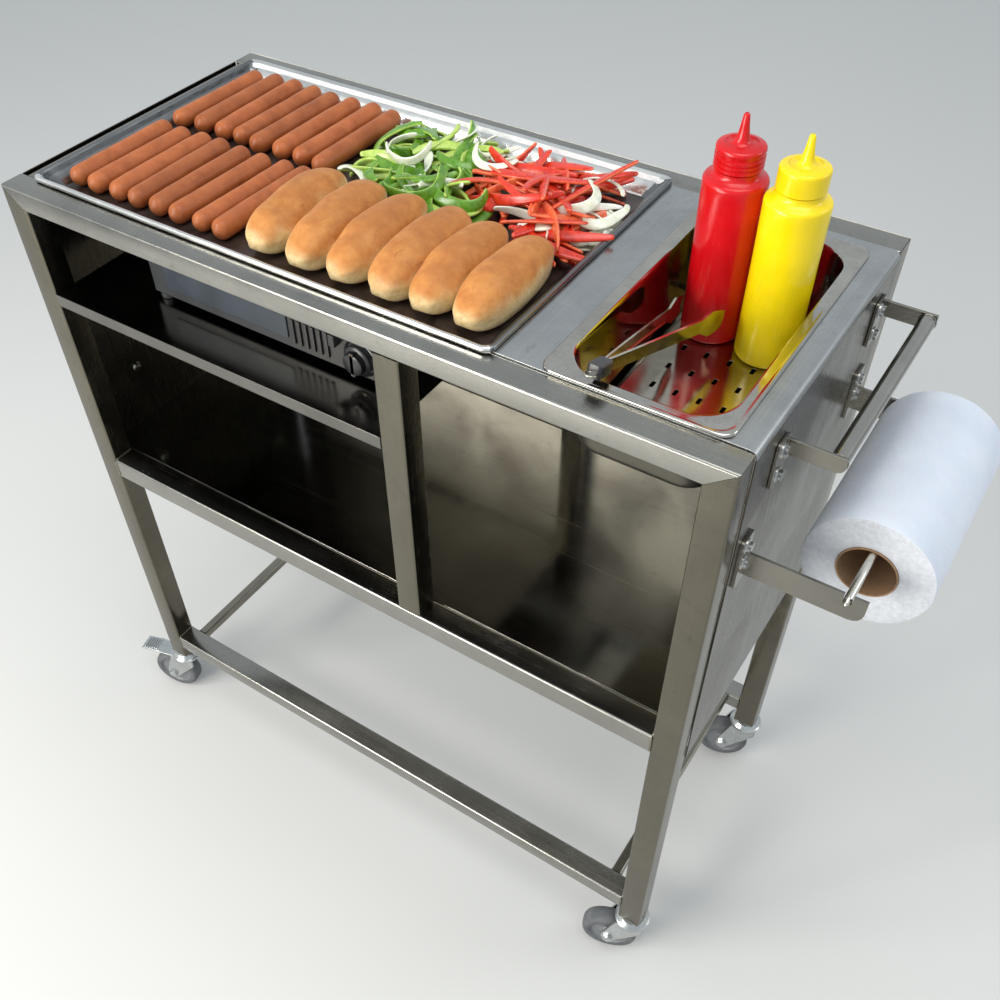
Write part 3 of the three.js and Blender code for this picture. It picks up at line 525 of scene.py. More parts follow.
def plate(middle, half_x, half_z, radius, depths):
    """A rounded plate in the XZ plane, between two depths along Y."""
    points = outline(half_x, half_z, radius, 4)
    return skin([[middle + Vector((p.x, y, p.y)) * MM for p in points] for y in depths])


def block(origin, low, high, turn=AXES["z"]):
    """A box between two corners given from origin, for joining into a larger piece."""
    corners = [(low[0], low[1]), (high[0], low[1]), (high[0], high[1]), (low[0], high[1])]
    return skin([[origin + turn @ (Vector((x, y, z)) * MM) for x, y in corners] for z in (low[2], high[2])])


def tube_ring(points, centre, thickness, normal):
    """A thin closed ring of round wire through points about a centre."""
    loops = []
    for point in points:
        out = (point - centre).normalized()
        loops.append([point + thickness * MM * (math.cos(a) * out + math.sin(a) * normal) for a in circle(8)])
    return skin(loops, closed=True)


def refined(node, body, slot, material, edge=0.5, smooth=50):
    """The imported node's own shape with its edges rounded and its flat faces made whole."""
    bm = bmesh.new()
    bm.from_mesh(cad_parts[node].data)
    bmesh.ops.remove_doubles(bm, verts=bm.verts, dist=0.002 * MM)
    bmesh.ops.dissolve_limit(bm, angle_limit=math.radians(0.5), verts=bm.verts, edges=bm.edges)
    mesh = bpy.data.meshes.new(f"{node}_finish")
    bm.to_mesh(mesh)
    bm.free()
    for attribute in [a.name for a in mesh.attributes if a.name == "custom_normal"]:
        mesh.attributes.remove(mesh.attributes[attribute])
    piece(f"{node}_finish", mesh, body, slot, material, node, edge, smooth)


# ---------------------------------------------------------------- frame and sheet metal
TUBE, SHEET = (0.25, 0.235, 0.195), (0.40, 0.41, 0.41)
# Tube tints by grain axis: the x tubes get a lighter tint as painted light, the upright z tubes a darker one as
# painted shade, and y keeps the plain tint.
TUBE_TINTS_PAINTED_LIGHT = {"x": (0.30, 0.295, 0.27), "y": TUBE, "z": (0.155, 0.142, 0.112)}
TUBE_GRAIN = {"top_rail_left": "y", "top_rail_right": "y", "base_tie": "y", "leg": "z", "centre_post": "z",
              "top_rail": "x", "shelf_rail": "x", "stretcher": "x"}
PANEL_SCREW_Y, PANEL_SCREW_DROP = (-0.1, 0.12), (170, 300)


def make_frame():
    tubes = {axis: steel(f"tube_steel_painted_light_and_shade_{axis}", tint, 0.20, axis) for axis, tint in TUBE_TINTS_PAINTED_LIGHT.items()}
    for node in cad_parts:
        grain = next((axis for start, axis in TUBE_GRAIN.items() if node.startswith(start)), None)
        if grain:
            refined(node, "cart", "frame_steel", tubes[grain])
    # Side panels: the tube tint darkened to 0.45 as painted shade.
    panel = steel("panel_steel_painted_shade", shade(TUBE, 0.45), 0.24, "z", warp=0.10)
    # Back panel: a pale cream tint as painted light, standing in for the bright reflected patches inside the bays.
    back = steel("back_steel_painted_light", (0.80, 0.76, 0.68), 0.44, "x", smudge=0.3, warp=0.2)
    shelf = steel("shelf_steel", (0.46, 0.45, 0.42), 0.10, "x", scratch=1, warp=0.03)
    # Middle shelf: a dark tint as painted shade of the upper bay.
    stove_shelf = steel("stove_shelf_painted_shade", (0.17, 0.165, 0.15), 0.16, "x", warp=0.06)
    refined("worktop", "cart", "sheet_steel", steel("worktop_steel", SHEET, 0.22, "y", warp=0.05), 0.4)
    refined("side_panel_right", "cart", "sheet_steel", panel, 0.3)
    refined("side_panel_left", "cart", "sheet_steel", panel, 0.3)
    refined("back_panel", "cart", "sheet_steel", back, 0.3)
    refined("lower_shelf", "cart", "shelf_steel", shelf, 0.3)
    refined("middle_shelf", "cart", "shelf_steel", stove_shelf, 0.3)


def weld_bead(name, a, b, radius=1.3):
    """A rippled bead along a straight line."""
    rng = random.Random(name)
    a, b = Vector(a), Vector(b)
    along = (b - a).normalized()
    side = along.orthogonal().normalized()
    up = along.cross(side)
    steps = max(3, int((b - a).length / (0.9 * MM)))
    loops = []
    for k in range(steps + 1):
        size = radius * MM * (0.82 + 0.25 * abs(math.sin(k * 1.35)) + rng.uniform(-0.08, 0.08))
        if k in (0, steps):
            size *= 0.5
        loops.append([a.lerp(b, k / steps) + size * (math.cos(t) * side + math.sin(t) * up) for t in circle(8)])
    return skin(loops)


def make_welds():
    """Beads where the stretchers, ties and shelf rails meet the legs."""
    material = steel("weld_steel", (0.26, 0.24, 0.20), 0.34, "z")
    parts = []
    for node in ("stretcher_front", "stretcher_rear", "shelf_rail_front", "shelf_rail_rear"):
        low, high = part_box(node)
        inset = 2.5 * MM
        for x in (low.x, high.x):
            for y in (low.y, high.y):
                parts.append(weld_bead(f"{node}{x}{y}", (x, y, low.z + inset), (x, y, high.z - inset)))
            for z in (low.z, high.z):
                parts.append(weld_bead(f"{node}{x}{z}", (x, low.y + inset, z), (x, high.y - inset, z)))
    for node in ("base_tie_left", "base_tie_right"):
        low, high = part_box(node)
        for y in (low.y, high.y):
            for x in (low.x, high.x):
                parts.append(weld_bead(f"{node}{x}{y}", (x, y, low.z + MM), (x, y, high.z - MM)))
    build("weld_beads", *merged(parts), "cart", "frame_steel", material, smooth=60)


def hex_bolt(place, out, washer=7.4, head=5.6, height=3.6):
    """A washer and a chamfered hex head, standing on place and pointing along out."""
    turn = Vector(out).to_track_quat("Z", "Y").to_matrix()
    base = 1.1
    section = [(0.2, 0), (washer, 0), (washer, 0.8), (washer - 0.4, base), (0.2, base)]
    disc = lathe(section, place, steps=32, turn=turn)
    rings = []
    for radius, blend, z in ((head, 0, base), (head, 0, base + height * 0.72),
                             (head * 0.93, 0.75, base + height * 0.93), (head * 0.62, 1, base + height),
                             (0.2, 1, base + height * 1.04)):
        loop = []
        for angle in circle(24):
            flat = math.cos(math.pi / 6) / math.cos((angle % (math.pi / 3)) - math.pi / 6)
            size = radius * (flat * (1 - blend) + blend)
            point = Vector((size * math.cos(angle), size * math.sin(angle), z)) * MM
            loop.append(Vector(place) + turn @ point)
        rings.append(loop)
    return merged([disc, skin(rings)])


def make_fastenings():
    """The handle, both pairs of brackets, their bolts and the screws of the left panel."""
    zinc = polished("bolt_zinc", (0.55, 0.55, 0.53), 0.16)
    bracket_steel = steel("bracket_steel", (0.24, 0.23, 0.20), 0.2, "x")
    bracket_wall, nut_drop = 3 * MM, 9 * MM
    for kind in ("handle", "roll"):
        for end in ("front", "rear"):
            refined(f"{kind}_bracket_{end}", "cart", "handle_steel", bracket_steel, 0.4, 40)
            bolts = Box(f"{kind}_bolts_{end}")
            face = Box(f"{kind}_bracket_{end}").low.x + bracket_wall
            heights = (bolts.low.z + nut_drop, bolts.high.z - nut_drop)
            parts = [hex_bolt((face, bolts.centre.y, z), (1, 0, 0)) for z in heights]
            parts += [hex_bolt((bolts.low.x + 2 * MM, bolts.centre.y, z), (-1, 0, 0), height=2.4)
                      for z in heights]
            build(f"{kind}_bolts_{end}_finish", *merged(parts), "cart", "bolt_zinc", zinc,
                  replaces=f"{kind}_bolts_{end}", smooth=28)

    grip = Box("handle_grip")
    radius, length = grip.size.x / 2, grip.size.y
    start = Vector((grip.centre.x, grip.low.y, grip.centre.z))
    profile = [(0.3, 0)] + [(radius, h) for h in (0, 1.2, 2.8, length / 2, length - 2.8, length - 1.2, length)]
    build("handle_grip_finish", *lathe(profile + [(0.3, length)], start, "y"), "cart", "handle_steel",
          steel("grip_steel", (0.36, 0.35, 0.32), 0.16, "y"), replaces="handle_grip", smooth=50)
    beads = []
    for y in (grip.low.y + 0.6 * MM, grip.high.y - 0.6 * MM):
        centre = Vector((start.x, y, start.z))
        points = [centre + radius * MM * Vector((math.cos(a), 0, math.sin(a))) for a in circle(24)]
        beads.append(tube_ring(points, centre, 0.9, Vector((0, 1, 0))))
    build("grip_welds", *merged(beads), "cart", "handle_steel", bracket_steel, smooth=60)

    face = Box("side_panel_left").high
    screws = [hex_bolt((face.x, y, face.z - drop * MM), (1, 0, 0), washer=6, head=4.6, height=2.6)
              for y in PANEL_SCREW_Y for drop in PANEL_SCREW_DROP]
    build("panel_screws", *merged(screws), "cart", "bolt_zinc", zinc, smooth=28)


# ---------------------------------------------------------------- griddle tray
TRAY_CREASE_REACH = 0.07  # metres from a corner to where its creases fan out
TRAY_INSIDE = [(60, 12, 0), (25, 9, 0), (21.5, 8, 0.5), (19, 8, 2.4), (15, 9, 8), (9, 11, 15)]
TRAY_RIM = ((6, -2.2), (4.4, -0.7), (3, -0.1), (1.6, -0.2), (0.5, -1.1), (0, -2.6))


def make_tray():
    """A pressed dish with a thin rolled rim, sloping walls and creased corners."""
    box = Box("griddle_tray")
    half = (box.high - box.low) / 2
    top, floor = box.high.z, box.low.z + 1.2 * MM
    under = top - 5.3 * MM
    rings = [(inset, radius, floor + rise * MM) for inset, radius, rise in TRAY_INSIDE]
    rings += [(inset, 10, top + rise * MM) for inset, rise in TRAY_RIM]
    rings += [(0, 10, under + 0.8 * MM), (0.5, 10, under), (1.2, 9, under + 0.6 * MM),
              (1.6, 9, top - 2.6 * MM), (3, 9, top - 1.5 * MM), (4.8, 10, top - 2 * MM)]
    rings += [(inset + 1, radius + 0.4, floor + (rise - 1.1) * MM)
              for inset, radius, rise in reversed(TRAY_INSIDE)]
    loops = dish_loops(box, rings, corner=10, side=90)
    for number, loop in enumerate(loops[3:21], 3):
        rim = 6 <= number <= 16
        for point in loop:
            x, y = point.x - box.centre.x, point.y - box.centre.y
            near = max(0.0, 1 - (min(half.x - abs(x), 1) + min(half.y - abs(y), 1)) / 0.085)
            fan = math.atan2(abs(y) - half.y + TRAY_CREASE_REACH, abs(x) - half.x + TRAY_CREASE_REACH)
            fold = abs(math.sin(fan * 9)) * near
            dent = noise.noise(Vector((point.x, point.y, 0)) * 24)
            inward = Vector((-x, -y, 0)).normalized()
            point += inward * max(0, (0.5 * dent + (0.4 if rim else 2.2) * fold) * MM)
            point.z += min(0, 0.4 * dent * MM) if rim else 0
    vertices, faces = skin(loops)
    materials = []
    for face in faces:
        ring = min(face) // len(loops[0])
        middle = sum((vertices[i] for i in face[:4]), Vector()) / 4 - box.centre
        across, along = abs(middle.x) / half.x, middle.y / half.y
        if ring < 2 or len(face) > 4:
            materials.append(0)
        elif ring > 5:
            # Rim faces: the front and rear take the bright rim steel as painted highlight, and the two ends take
            # the dark side rim steel as painted shade.
            materials.append(4 if across > abs(along) + 0.02 else 1)
        else:
            # Rear wall faces take the near-white painted highlight; side and front wall faces take the dark
            # painted shade.
            materials.append(2 if along > across - 0.03 else 3)
    finish = [
        seasoned("griddle_floor"),
        steel("rim_steel", (0.72, 0.72, 0.70), 0.2, "x"),
        wall_steel("rear_wall_painted_highlight", (0.88, 0.88, 0.87), (0.6, 0.57, 0.53), 0.62, 0.25, 0.35),
        wall_steel("side_wall_painted_shade", (0.13, 0.135, 0.14), (0.03, 0.025, 0.022), 0.3, 0.6),
        steel("side_rim_painted_shade", (0.20, 0.205, 0.21), 0.24, "y"),
    ]
    build("griddle_tray_finish", vertices, faces, "tray", "griddle_steel", finish, materials=materials,
          replaces="griddle_tray", smooth=60)


# ---------------------------------------------------------------- pan, drain plate, bottles, tongs
def make_pan():
    """A gastronorm pan with a beaded rim and its perforated plate."""
    box = Box("steam_pan")
    inside = [(60, 20, 1.1), (33, 20, 1.2), (27, 24, 2.4), (23, 28, 6), (21.2, 30, 12), (17, 34, 52)]
    rim = [(14.2, 37, -8), (13.4, 38, -3.4), (12.6, 38, -1.3), (11, 38, -0.9), (5.2, 24, -1), (4, 17, -0.7),
           (2.8, 15, 0), (1.2, 14, -0.1), (0.2, 13, -1), (0.1, 13, -2.6), (0.9, 13, -3.2), (1.5, 13, -1.6),
           (10, 34, -2), (12, 38, -3), (13.2, 37, -8)]
    outside = [(16, 34, 52), (20.2, 30, 12), (22, 28, 5.4), (26.4, 24, 1.4), (32, 20, 0.1), (60, 20, 0)]
    rings = [(inset, radius, level + rise * MM)
             for stretch, level in ((inside, box.low.z), (rim, box.high.z), (outside, box.low.z))
             for inset, radius, rise in stretch]
    loops = dish_loops(box, rings, corner=12, side=6)
    vertices, faces = skin(loops)
    # The outer wall and underside take a much darker steel than the inside, as painted shade under the worktop.
    underside = len(inside) + 10
    materials = [1 if min(face) // len(loops[0]) >= underside else 0 for face in faces]
    finish = [polished("pan_steel", (0.48, 0.46, 0.42), 0.09),
              steel("pan_underside_painted_shade", (0.15, 0.14, 0.115), 0.32, "x")]
    build("steam_pan_finish", vertices, faces, "pan", "pan_steel", finish, materials=materials,
          replaces="steam_pan", smooth=60)
    refined("drain_plate", "drain_plate", "pan_steel", polished("plate_steel", (0.46, 0.43, 0.36), 0.12), 0.25)


def make_bottle(name, tint, ribs):
    """A squeeze bottle and its nozzle cap, with grip ribs where there are any."""
    box = Box(f"{name}_bottle")
    r, tall = box.size.x / 2 - 0.2, box.size.z
    shoulder, neck = tall - 8, 21
    profile = [(0.3, 2), (r - 9, 1.6), (r - 7, 0.2), (r - 4, 0.1)]
    profile += arc(r - 4, 4.1, 4, -80, 0)
    profile += [(r - 0.25, tall * 0.3), (r - 0.35, tall * 0.6), (r - 0.1, shoulder - 10)]
    profile += arc(r - 5, shoulder - 4.5, 5, 5, 78)
    profile += [(neck + 1.8, shoulder + 2.2), (neck + 0.6, shoulder + 3.4), (neck, shoulder + 5),
                (neck, tall - 0.3), (0.3, tall - 0.3)]
    material = plastic(f"{name}_plastic", tint, 0.24)
    slot = "red_plastic" if name == "ketchup" else "yellow_plastic"
    place = (box.centre.x, box.centre.y, box.low.z)
    build(f"{name}_bottle_finish", *lathe(profile, place, steps=72), name, slot, material,
          replaces=f"{name}_bottle", smooth=55)

    cap = Box(f"{name}_cap")
    r, tall = cap.size.x / 2 - 0.1, cap.size.z
    side = tall - 26
    profile = [(0.3, 0.2), (r - 1, 0.2), (r, 1)]
    for k in range(ribs):
        z = 2.2 + k * 4.2
        profile += [(r, z), (r, z + 1.8), (r - 1.1, z + 2.4), (r - 1.1, z + 3.8)]
    profile += [(r, side - 5)] + arc(r - 3, side - 4, 3, 0, 82)
    profile += [(r - 7, side + 0.2), (r - 8, side - 0.8), (10, side - 0.4), (8.2, side + 0.6), (6.6, side + 2.6),
                (5.4, side + 6), (4.1, side + 14), (2.9, tall - 2.2), (2.3, tall - 0.8), (1.5, tall - 0.2),
                (0.9, tall - 0.2), (0.7, tall - 3), (0.2, tall - 3)]
    place = (box.centre.x, box.centre.y, cap.low.z)
    build(f"{name}_cap_finish", *lathe(profile, place, steps=72), f"{name}_cap", slot, material,
          replaces=f"{name}_cap", smooth=40)


TONGS_HEADING, TONGS_DIP = 1.53, 0.27
TONGS_HEAD = Vector((-36, -148, 10)) * MM  # from the pan's centre and rim top
TONGS_LENGTH, TONGS_SPREAD = 195, 19.5
TONGS_SHEET = 0.9


def make_tongs():
    """Two channel arms with scalloped tips, a dark spring head and a pull ring."""
    turn = Matrix.Rotation(TONGS_HEADING, 3, "Z") @ Matrix.Rotation(TONGS_DIP, 3, "Y")
    pan = Box("steam_pan")
    head = Vector((pan.centre.x, pan.centre.y, pan.high.z)) + TONGS_HEAD

    def at(x, y, z):
        return head + turn @ (Vector((x, y, z)) * MM)

    arms = []
    steps = 40
    for side in (-1, 1):
        loops = []
        for k in range(steps + 1):
            t = k / steps
            x = 4 + t * TONGS_LENGTH
            y = side * (2 + TONGS_SPREAD * t ** 0.9)
            tip = max(0.0, (t - 0.8) / 0.2)
            half = 6 + t
            if tip:
                lobe = 1 + 0.13 * math.cos(tip * TAU * 2.5)
                half = 7 + 5.5 * math.sin(min(1, tip * 1.15) * math.pi * 0.85) * lobe
            inner = y - side * 2.2 * (1 - tip)
            cup = 2.4 * math.sin(tip * math.pi * 0.8)
            outside = [(inner, -half), (y + side * cup * 0.5, -half + 0.3), (y + side * cup, -half * 0.3),
                       (y + side * cup, half * 0.3), (y + side * cup * 0.5, half - 0.3), (inner, half)]
            edge, half_cup, full_cup = (inner - side * 0.01, y + side * (cup * 0.5 - TONGS_SHEET),
                                        y + side * (cup - TONGS_SHEET))
            inside = [(edge, half - TONGS_SHEET), (half_cup, half - 1.4), (full_cup, half * 0.25),
                      (full_cup, -half * 0.25), (half_cup, -half + 1.4), (edge, -half + TONGS_SHEET)]
            loops.append([at(x, *point) for point in outside + inside])
        arms.append(skin(loops))
    bright = polished("tongs_steel", (0.60, 0.56, 0.45), 0.14)
    build("tongs_arms", *merged(arms), "tongs", "tongs_steel", bright, replaces="tongs", smooth=45)
    points = outline(11, 7, 3, 4)
    cover = [[at(p.x - 2, p.y * s, z) for p in points] for s, z in ((0.86, -6), (1, -5), (1, 5), (0.86, 6))]
    build("tongs_head", *skin(cover), "tongs", "tongs_steel", enamel("tongs_black", (0.02, 0.02, 0.022), 0.3),
          replaces="tongs", smooth=40)
    ring_x, ring_z, ring_radius = -17, -1, 5
    points = [at(ring_x + ring_radius * math.cos(a), ring_radius * math.sin(a), ring_z) for a in circle(28)]
    ring = tube_ring(points, at(ring_x, 0, ring_z), 0.8, turn @ Vector((0, 0, 1)))
    build("tongs_ring", *ring, "tongs", "tongs_steel", bright, replaces="tongs", smooth=60)


# ---------------------------------------------------------------- food
SAUSAGE_COUNT, SAUSAGE_RADIUS, SAUSAGE_EDGE = 8, 11.4 * MM, 12.5 * MM
SAUSAGE_TONES = (0.94, 1.04, 1.14)
BUN_COUNT, BUN_WIDTH = 6, 54 * MM
BUN_YAWS = (5, 4.5, 3, 2, 2.5, 1.5)
BUN_NUDGES = (1, 4, 6, 6, 1, -1)


def sausage(centre, length, radius, yaw, bow, rng):
    """A slightly bowed and lumpy rod with blunt ends."""
    rings, sides = 30, 20
    loops = []
    phase = rng.uniform(0, 9)
    cap = radius * 0.8
    for k in range(rings + 1):
        t = k / rings
        end = min(t, 1 - t) * length
        size = radius * (math.sqrt(max(0, 1 - (1 - end / cap) ** 2)) if end < cap else 1)
        size = max(size, 0.9 * MM)
        size *= 1 + 0.03 * noise.noise(Vector((phase, t * 7, 0)))
        shift = bow * (1 - (2 * t - 1) ** 2)
        loops.append([Vector((shift + size * math.cos(a), (t - 0.5) * length, size * math.sin(a)
                              + 0.25 * MM * noise.noise(Vector((phase, t * 18, a))))) for a in circle(sides)])
    turn = Matrix.Rotation(yaw, 3, "Z")
    vertices, faces = skin(loops)
    return [centre + turn @ v for v in vertices], faces


def make_sausages():
    skins = [sausage_skin(f"sausage_skin_{k}", tone) for k, tone in enumerate(SAUSAGE_TONES)]
    rng = random.Random(11)
    for row, loose in (("front", 1.0), ("rear", 2.2)):
        low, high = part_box(f"sausages_{row}")
        pitch = (high.x - low.x - 2 * SAUSAGE_EDGE) / (SAUSAGE_COUNT - 1)
        for k in range(SAUSAGE_COUNT):
            length = (high.y - low.y) - rng.uniform(0, 3.5) * MM
            x = low.x + SAUSAGE_EDGE + k * pitch + rng.uniform(-1.2, 1.2) * MM
            y = (low.y + high.y) / 2 + loose * rng.uniform(-1, 1.4) * MM
            place = Vector((x, y, low.z + SAUSAGE_RADIUS))
            shape = sausage(place, length, SAUSAGE_RADIUS * rng.uniform(0.95, 1.02),
                            math.radians(rng.uniform(-1.1, 1.1)), rng.uniform(-1.4, 1.4) * MM, rng)
            build(f"sausage_{row}_{k + 1}", *shape, "tray", "sausage_skin", skins[rng.randrange(3)],
                  replaces=f"sausages_{row}", subdivide=1)


def bun(centre, width, length, height, yaw, lean, rng):
    """A long roll: flat underneath, domed on top, with round ends and a cut along the sides."""
    rings, sides = 34, 28
    seed = rng.uniform(0, 50)
    loops = []
    for k in range(rings + 1):
        t = min(0.998, max(0.002, k / rings))
        u = 2 * t - 1
        end = (1 - abs(u) ** 2.7) ** (1 / 2)
        loop = []
        for a in circle(sides):
            c, s = math.cos(a), math.sin(a)
            x = width / 2 * math.copysign(abs(c) ** 0.86, c) * (0.35 + 0.65 * end) * end ** 0.25
            if s > 0:
                z = height * 0.56 * s * end
            else:
                z = height * 0.44 * math.copysign(min(1, abs(s) * 1.5) ** 0.8, s) * (0.25 + 0.75 * end)
            groove = math.exp(-((z + height * 0.12) / (1.7 * MM)) ** 2) * 1.5 * MM
            x -= math.copysign(groove, x) if abs(x) > groove else 0
            lump = noise.noise(Vector((c * 0.8, t * 5, s * 0.8 + seed))) * 2.4 * MM
            fine = noise.noise(Vector((c * 3, t * 19, s * 3 + seed))) * 0.45 * MM
            out = Vector((c, 0, max(s, 0))).normalized() if s > -0.4 else Vector((c * 0.3, 0, 0))
            loop.append(Vector((x, u * length / 2, z + height * 0.44)) + out * (lump + fine))
        loops.append(loop)
    turn = Matrix.Rotation(yaw, 3, "Z") @ Matrix.Rotation(lean, 3, "Y")
    vertices, faces = skin(loops)
    return [centre + turn @ v for v in vertices], faces


def make_buns():
    box = Box("buns")
    crust = bun_crust(box.low.z, box.high.z)
    rng = random.Random(5)
    pitch = (box.high.x - box.low.x - BUN_WIDTH) / (BUN_COUNT - 1)
    for k in range(BUN_COUNT):
        x = box.low.x + BUN_WIDTH / 2 + k * pitch + BUN_NUDGES[k] * MM
        place = Vector((x, box.centre.y + rng.uniform(-1.5, 1.5) * MM, box.low.z))
        shape = bun(place, (52.5 + rng.uniform(0, 3)) * MM, (149 + rng.uniform(-3, 1)) * MM,
                    (box.size.z + 2 - rng.uniform(0, 4)) * MM, math.radians(BUN_YAWS[k]),
                    math.radians(rng.uniform(-4, 4)), rng)
        build(f"bun_{k + 1}", *shape, "tray", "bread", crust, replaces="buns", subdivide=1)


def strip(rng, length, width, thick, curl, wave):
    """A cut strip that curls: loops of eight points, and which faces are the cut side."""
    steps = 18
    loops = []
    phase = rng.uniform(0, TAU)
    roll = -rng.uniform(0.35, 1.45)
    radius = length / curl
    for k in range(steps + 1):
        t = k / steps
        angle = curl * (t - 0.5)
        out = Vector((math.cos(angle), math.sin(angle), 0))
        middle = out * radius * (1 + wave * math.sin(3 * angle + phase)) - Vector((radius, 0, 0))
        twist = roll + 0.4 * math.sin(phase + 2.2 * t)
        up = (Vector((0, 0, 1)) * math.cos(twist) + out * math.sin(twist)).normalized()
        side = Vector((-math.sin(angle), math.cos(angle), 0)).cross(up)
        taper = max(0.45, math.sin(math.pi * min(1, max(0, t * 0.9 + 0.05))) ** 0.5)
        w, h = width / 2 * taper, thick / 2 * (0.7 + 0.3 * taper)
        corners = ((h, -w * 0.8), (h, w * 0.8), (h * 0.5, w), (-h * 0.5, w), (-h, w * 0.8), (-h, -w * 0.8),
                   (-h * 0.5, -w), (h * 0.5, -w))
        loops.append([middle + side * a + up * b for a, b in corners])
    vertices, faces = skin(loops)
    inner = [1 if i % 8 in (2, 3, 4, 5, 6) else 0 for i in range(steps * 8)] + [1, 1]
    return vertices, faces, inner


def scatter(name, count, area, layer, sizes, materials, seed, curl, tilt=0.35):
    """A heap of strips, seeded, over an area; layer is its floor and its height."""
    rng = random.Random(seed)
    (x0, x1), (y0, y1) = area
    bottom, height = layer
    shapes, indices = [], []
    reach = 6 * MM
    for k in range(count):
        length, width, thick = (rng.uniform(*pair) * MM for pair in sizes)
        shape, polygons, inner = strip(rng, length, width, thick, rng.uniform(*curl), rng.uniform(0, 0.14))
        turn = (Matrix.Rotation(rng.uniform(0, TAU), 3, "Z") @ Matrix.Rotation(rng.uniform(-tilt, tilt), 3, "Y")
                @ Matrix.Rotation(rng.uniform(-tilt, tilt) + rng.choice((0, 0, 0, math.pi)), 3, "X"))
        rise = bottom + height * (k / (count - 1)) ** 1.1
        middle = Vector((rng.uniform(x0, x1), rng.uniform(y0, y1), rise))
        points = [middle + turn @ v for v in shape]
        xs, ys = [p.x for p in points], [p.y for p in points]
        shift = Vector((max(0, x0 - reach - min(xs)) - max(0, max(xs) - x1 - reach),
                        max(0, y0 - reach - min(ys)) - max(0, max(ys) - y1 - reach),
                        max(0, bottom - min(p.z for p in points))))
        shapes.append(([p + shift for p in points], polygons))
        indices += inner
    build(name, *merged(shapes), "tray", "vegetable", materials, materials=indices, replaces="sliced_vegetables",
          subdivide=1)


def make_vegetables():
    """Green peppers at the left, red peppers at the right and onions over both."""
    low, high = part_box("sliced_vegetables")
    floor = low.z + 0.6 * MM
    green = [flesh("green_skin", (0.16, 0.36, 0.02), (0.055, 0.19, 0.008)),
             flesh("green_flesh", (0.55, 0.68, 0.16), (0.34, 0.52, 0.08))]
    red = [flesh("red_skin", (0.78, 0.045, 0.012), (0.52, 0.014, 0.006)),
           flesh("red_flesh", (0.88, 0.20, 0.07), (0.72, 0.10, 0.035))]
    white = [flesh("onion_outer", (0.84, 0.86, 0.76), (0.66, 0.70, 0.52), 0.22, 0.35),
             flesh("onion_inner", (0.86, 0.87, 0.80), (0.74, 0.78, 0.64), 0.22, 0.35)]
    split = low.x + 0.47 * (high.x - low.x)

    def area(left, from_left, right, from_right, front, rear):
        """Metres from the named edges, given in millimetres; rear is (edge, offset)."""
        edge, offset = rear
        return ((left + from_left * MM, right + from_right * MM), (low.y + front * MM, edge + offset * MM))

    scatter("green_peppers", 44, area(low.x, 14, split, 2, 16, (high.y, -14)), (floor, 26 * MM),
            ((56, 110), (9, 14), (3.4, 5)), green, 21, (1.2, 3.2), tilt=0.28)
    scatter("green_peppers_front", 18, area(split, -62, split, 44, 6, (low.y, 38)), (floor, 24 * MM),
            ((64, 110), (9, 14), (3.4, 5)), green, 8, (2.0, 4.2), tilt=0.28)
    scatter("red_peppers", 42, area(split, 4, high.x, -14, 24, (high.y, -12)), (floor, 30 * MM),
            ((80, 132), (9, 15), (3.4, 5)), red, 3, (0.2, 1.1), tilt=0.3)
    scatter("red_peppers_front", 12, area(high.x, -60, high.x, -12, -8, (low.y, 56)), (floor, 26 * MM),
            ((84, 124), (10, 15), (3.4, 5)), red, 14, (0.15, 0.8), tilt=0.25)
    scatter("onion_slices", 20, area(low.x, 14, high.x, -10, 10, (high.y, -10)), (floor + 8 * MM, 24 * MM),
            ((50, 96), (8, 13), (2, 3)), white, 17, (1.8, 3.6))
    scatter("onion_rings", 9, area(high.x, -34, high.x, -2, 34, (low.y, 100)), (floor, 18 * MM),
            ((80, 124), (8, 13), (2, 3)), white, 9, (3.0, 4.8), tilt=0.15)


# ---------------------------------------------------------------- stove
VENT_COUNT, VENT_PITCH = 6, 9
BURNER_X, BURNER_SINK = 118, 5
SUPPORT_COUNT = 6


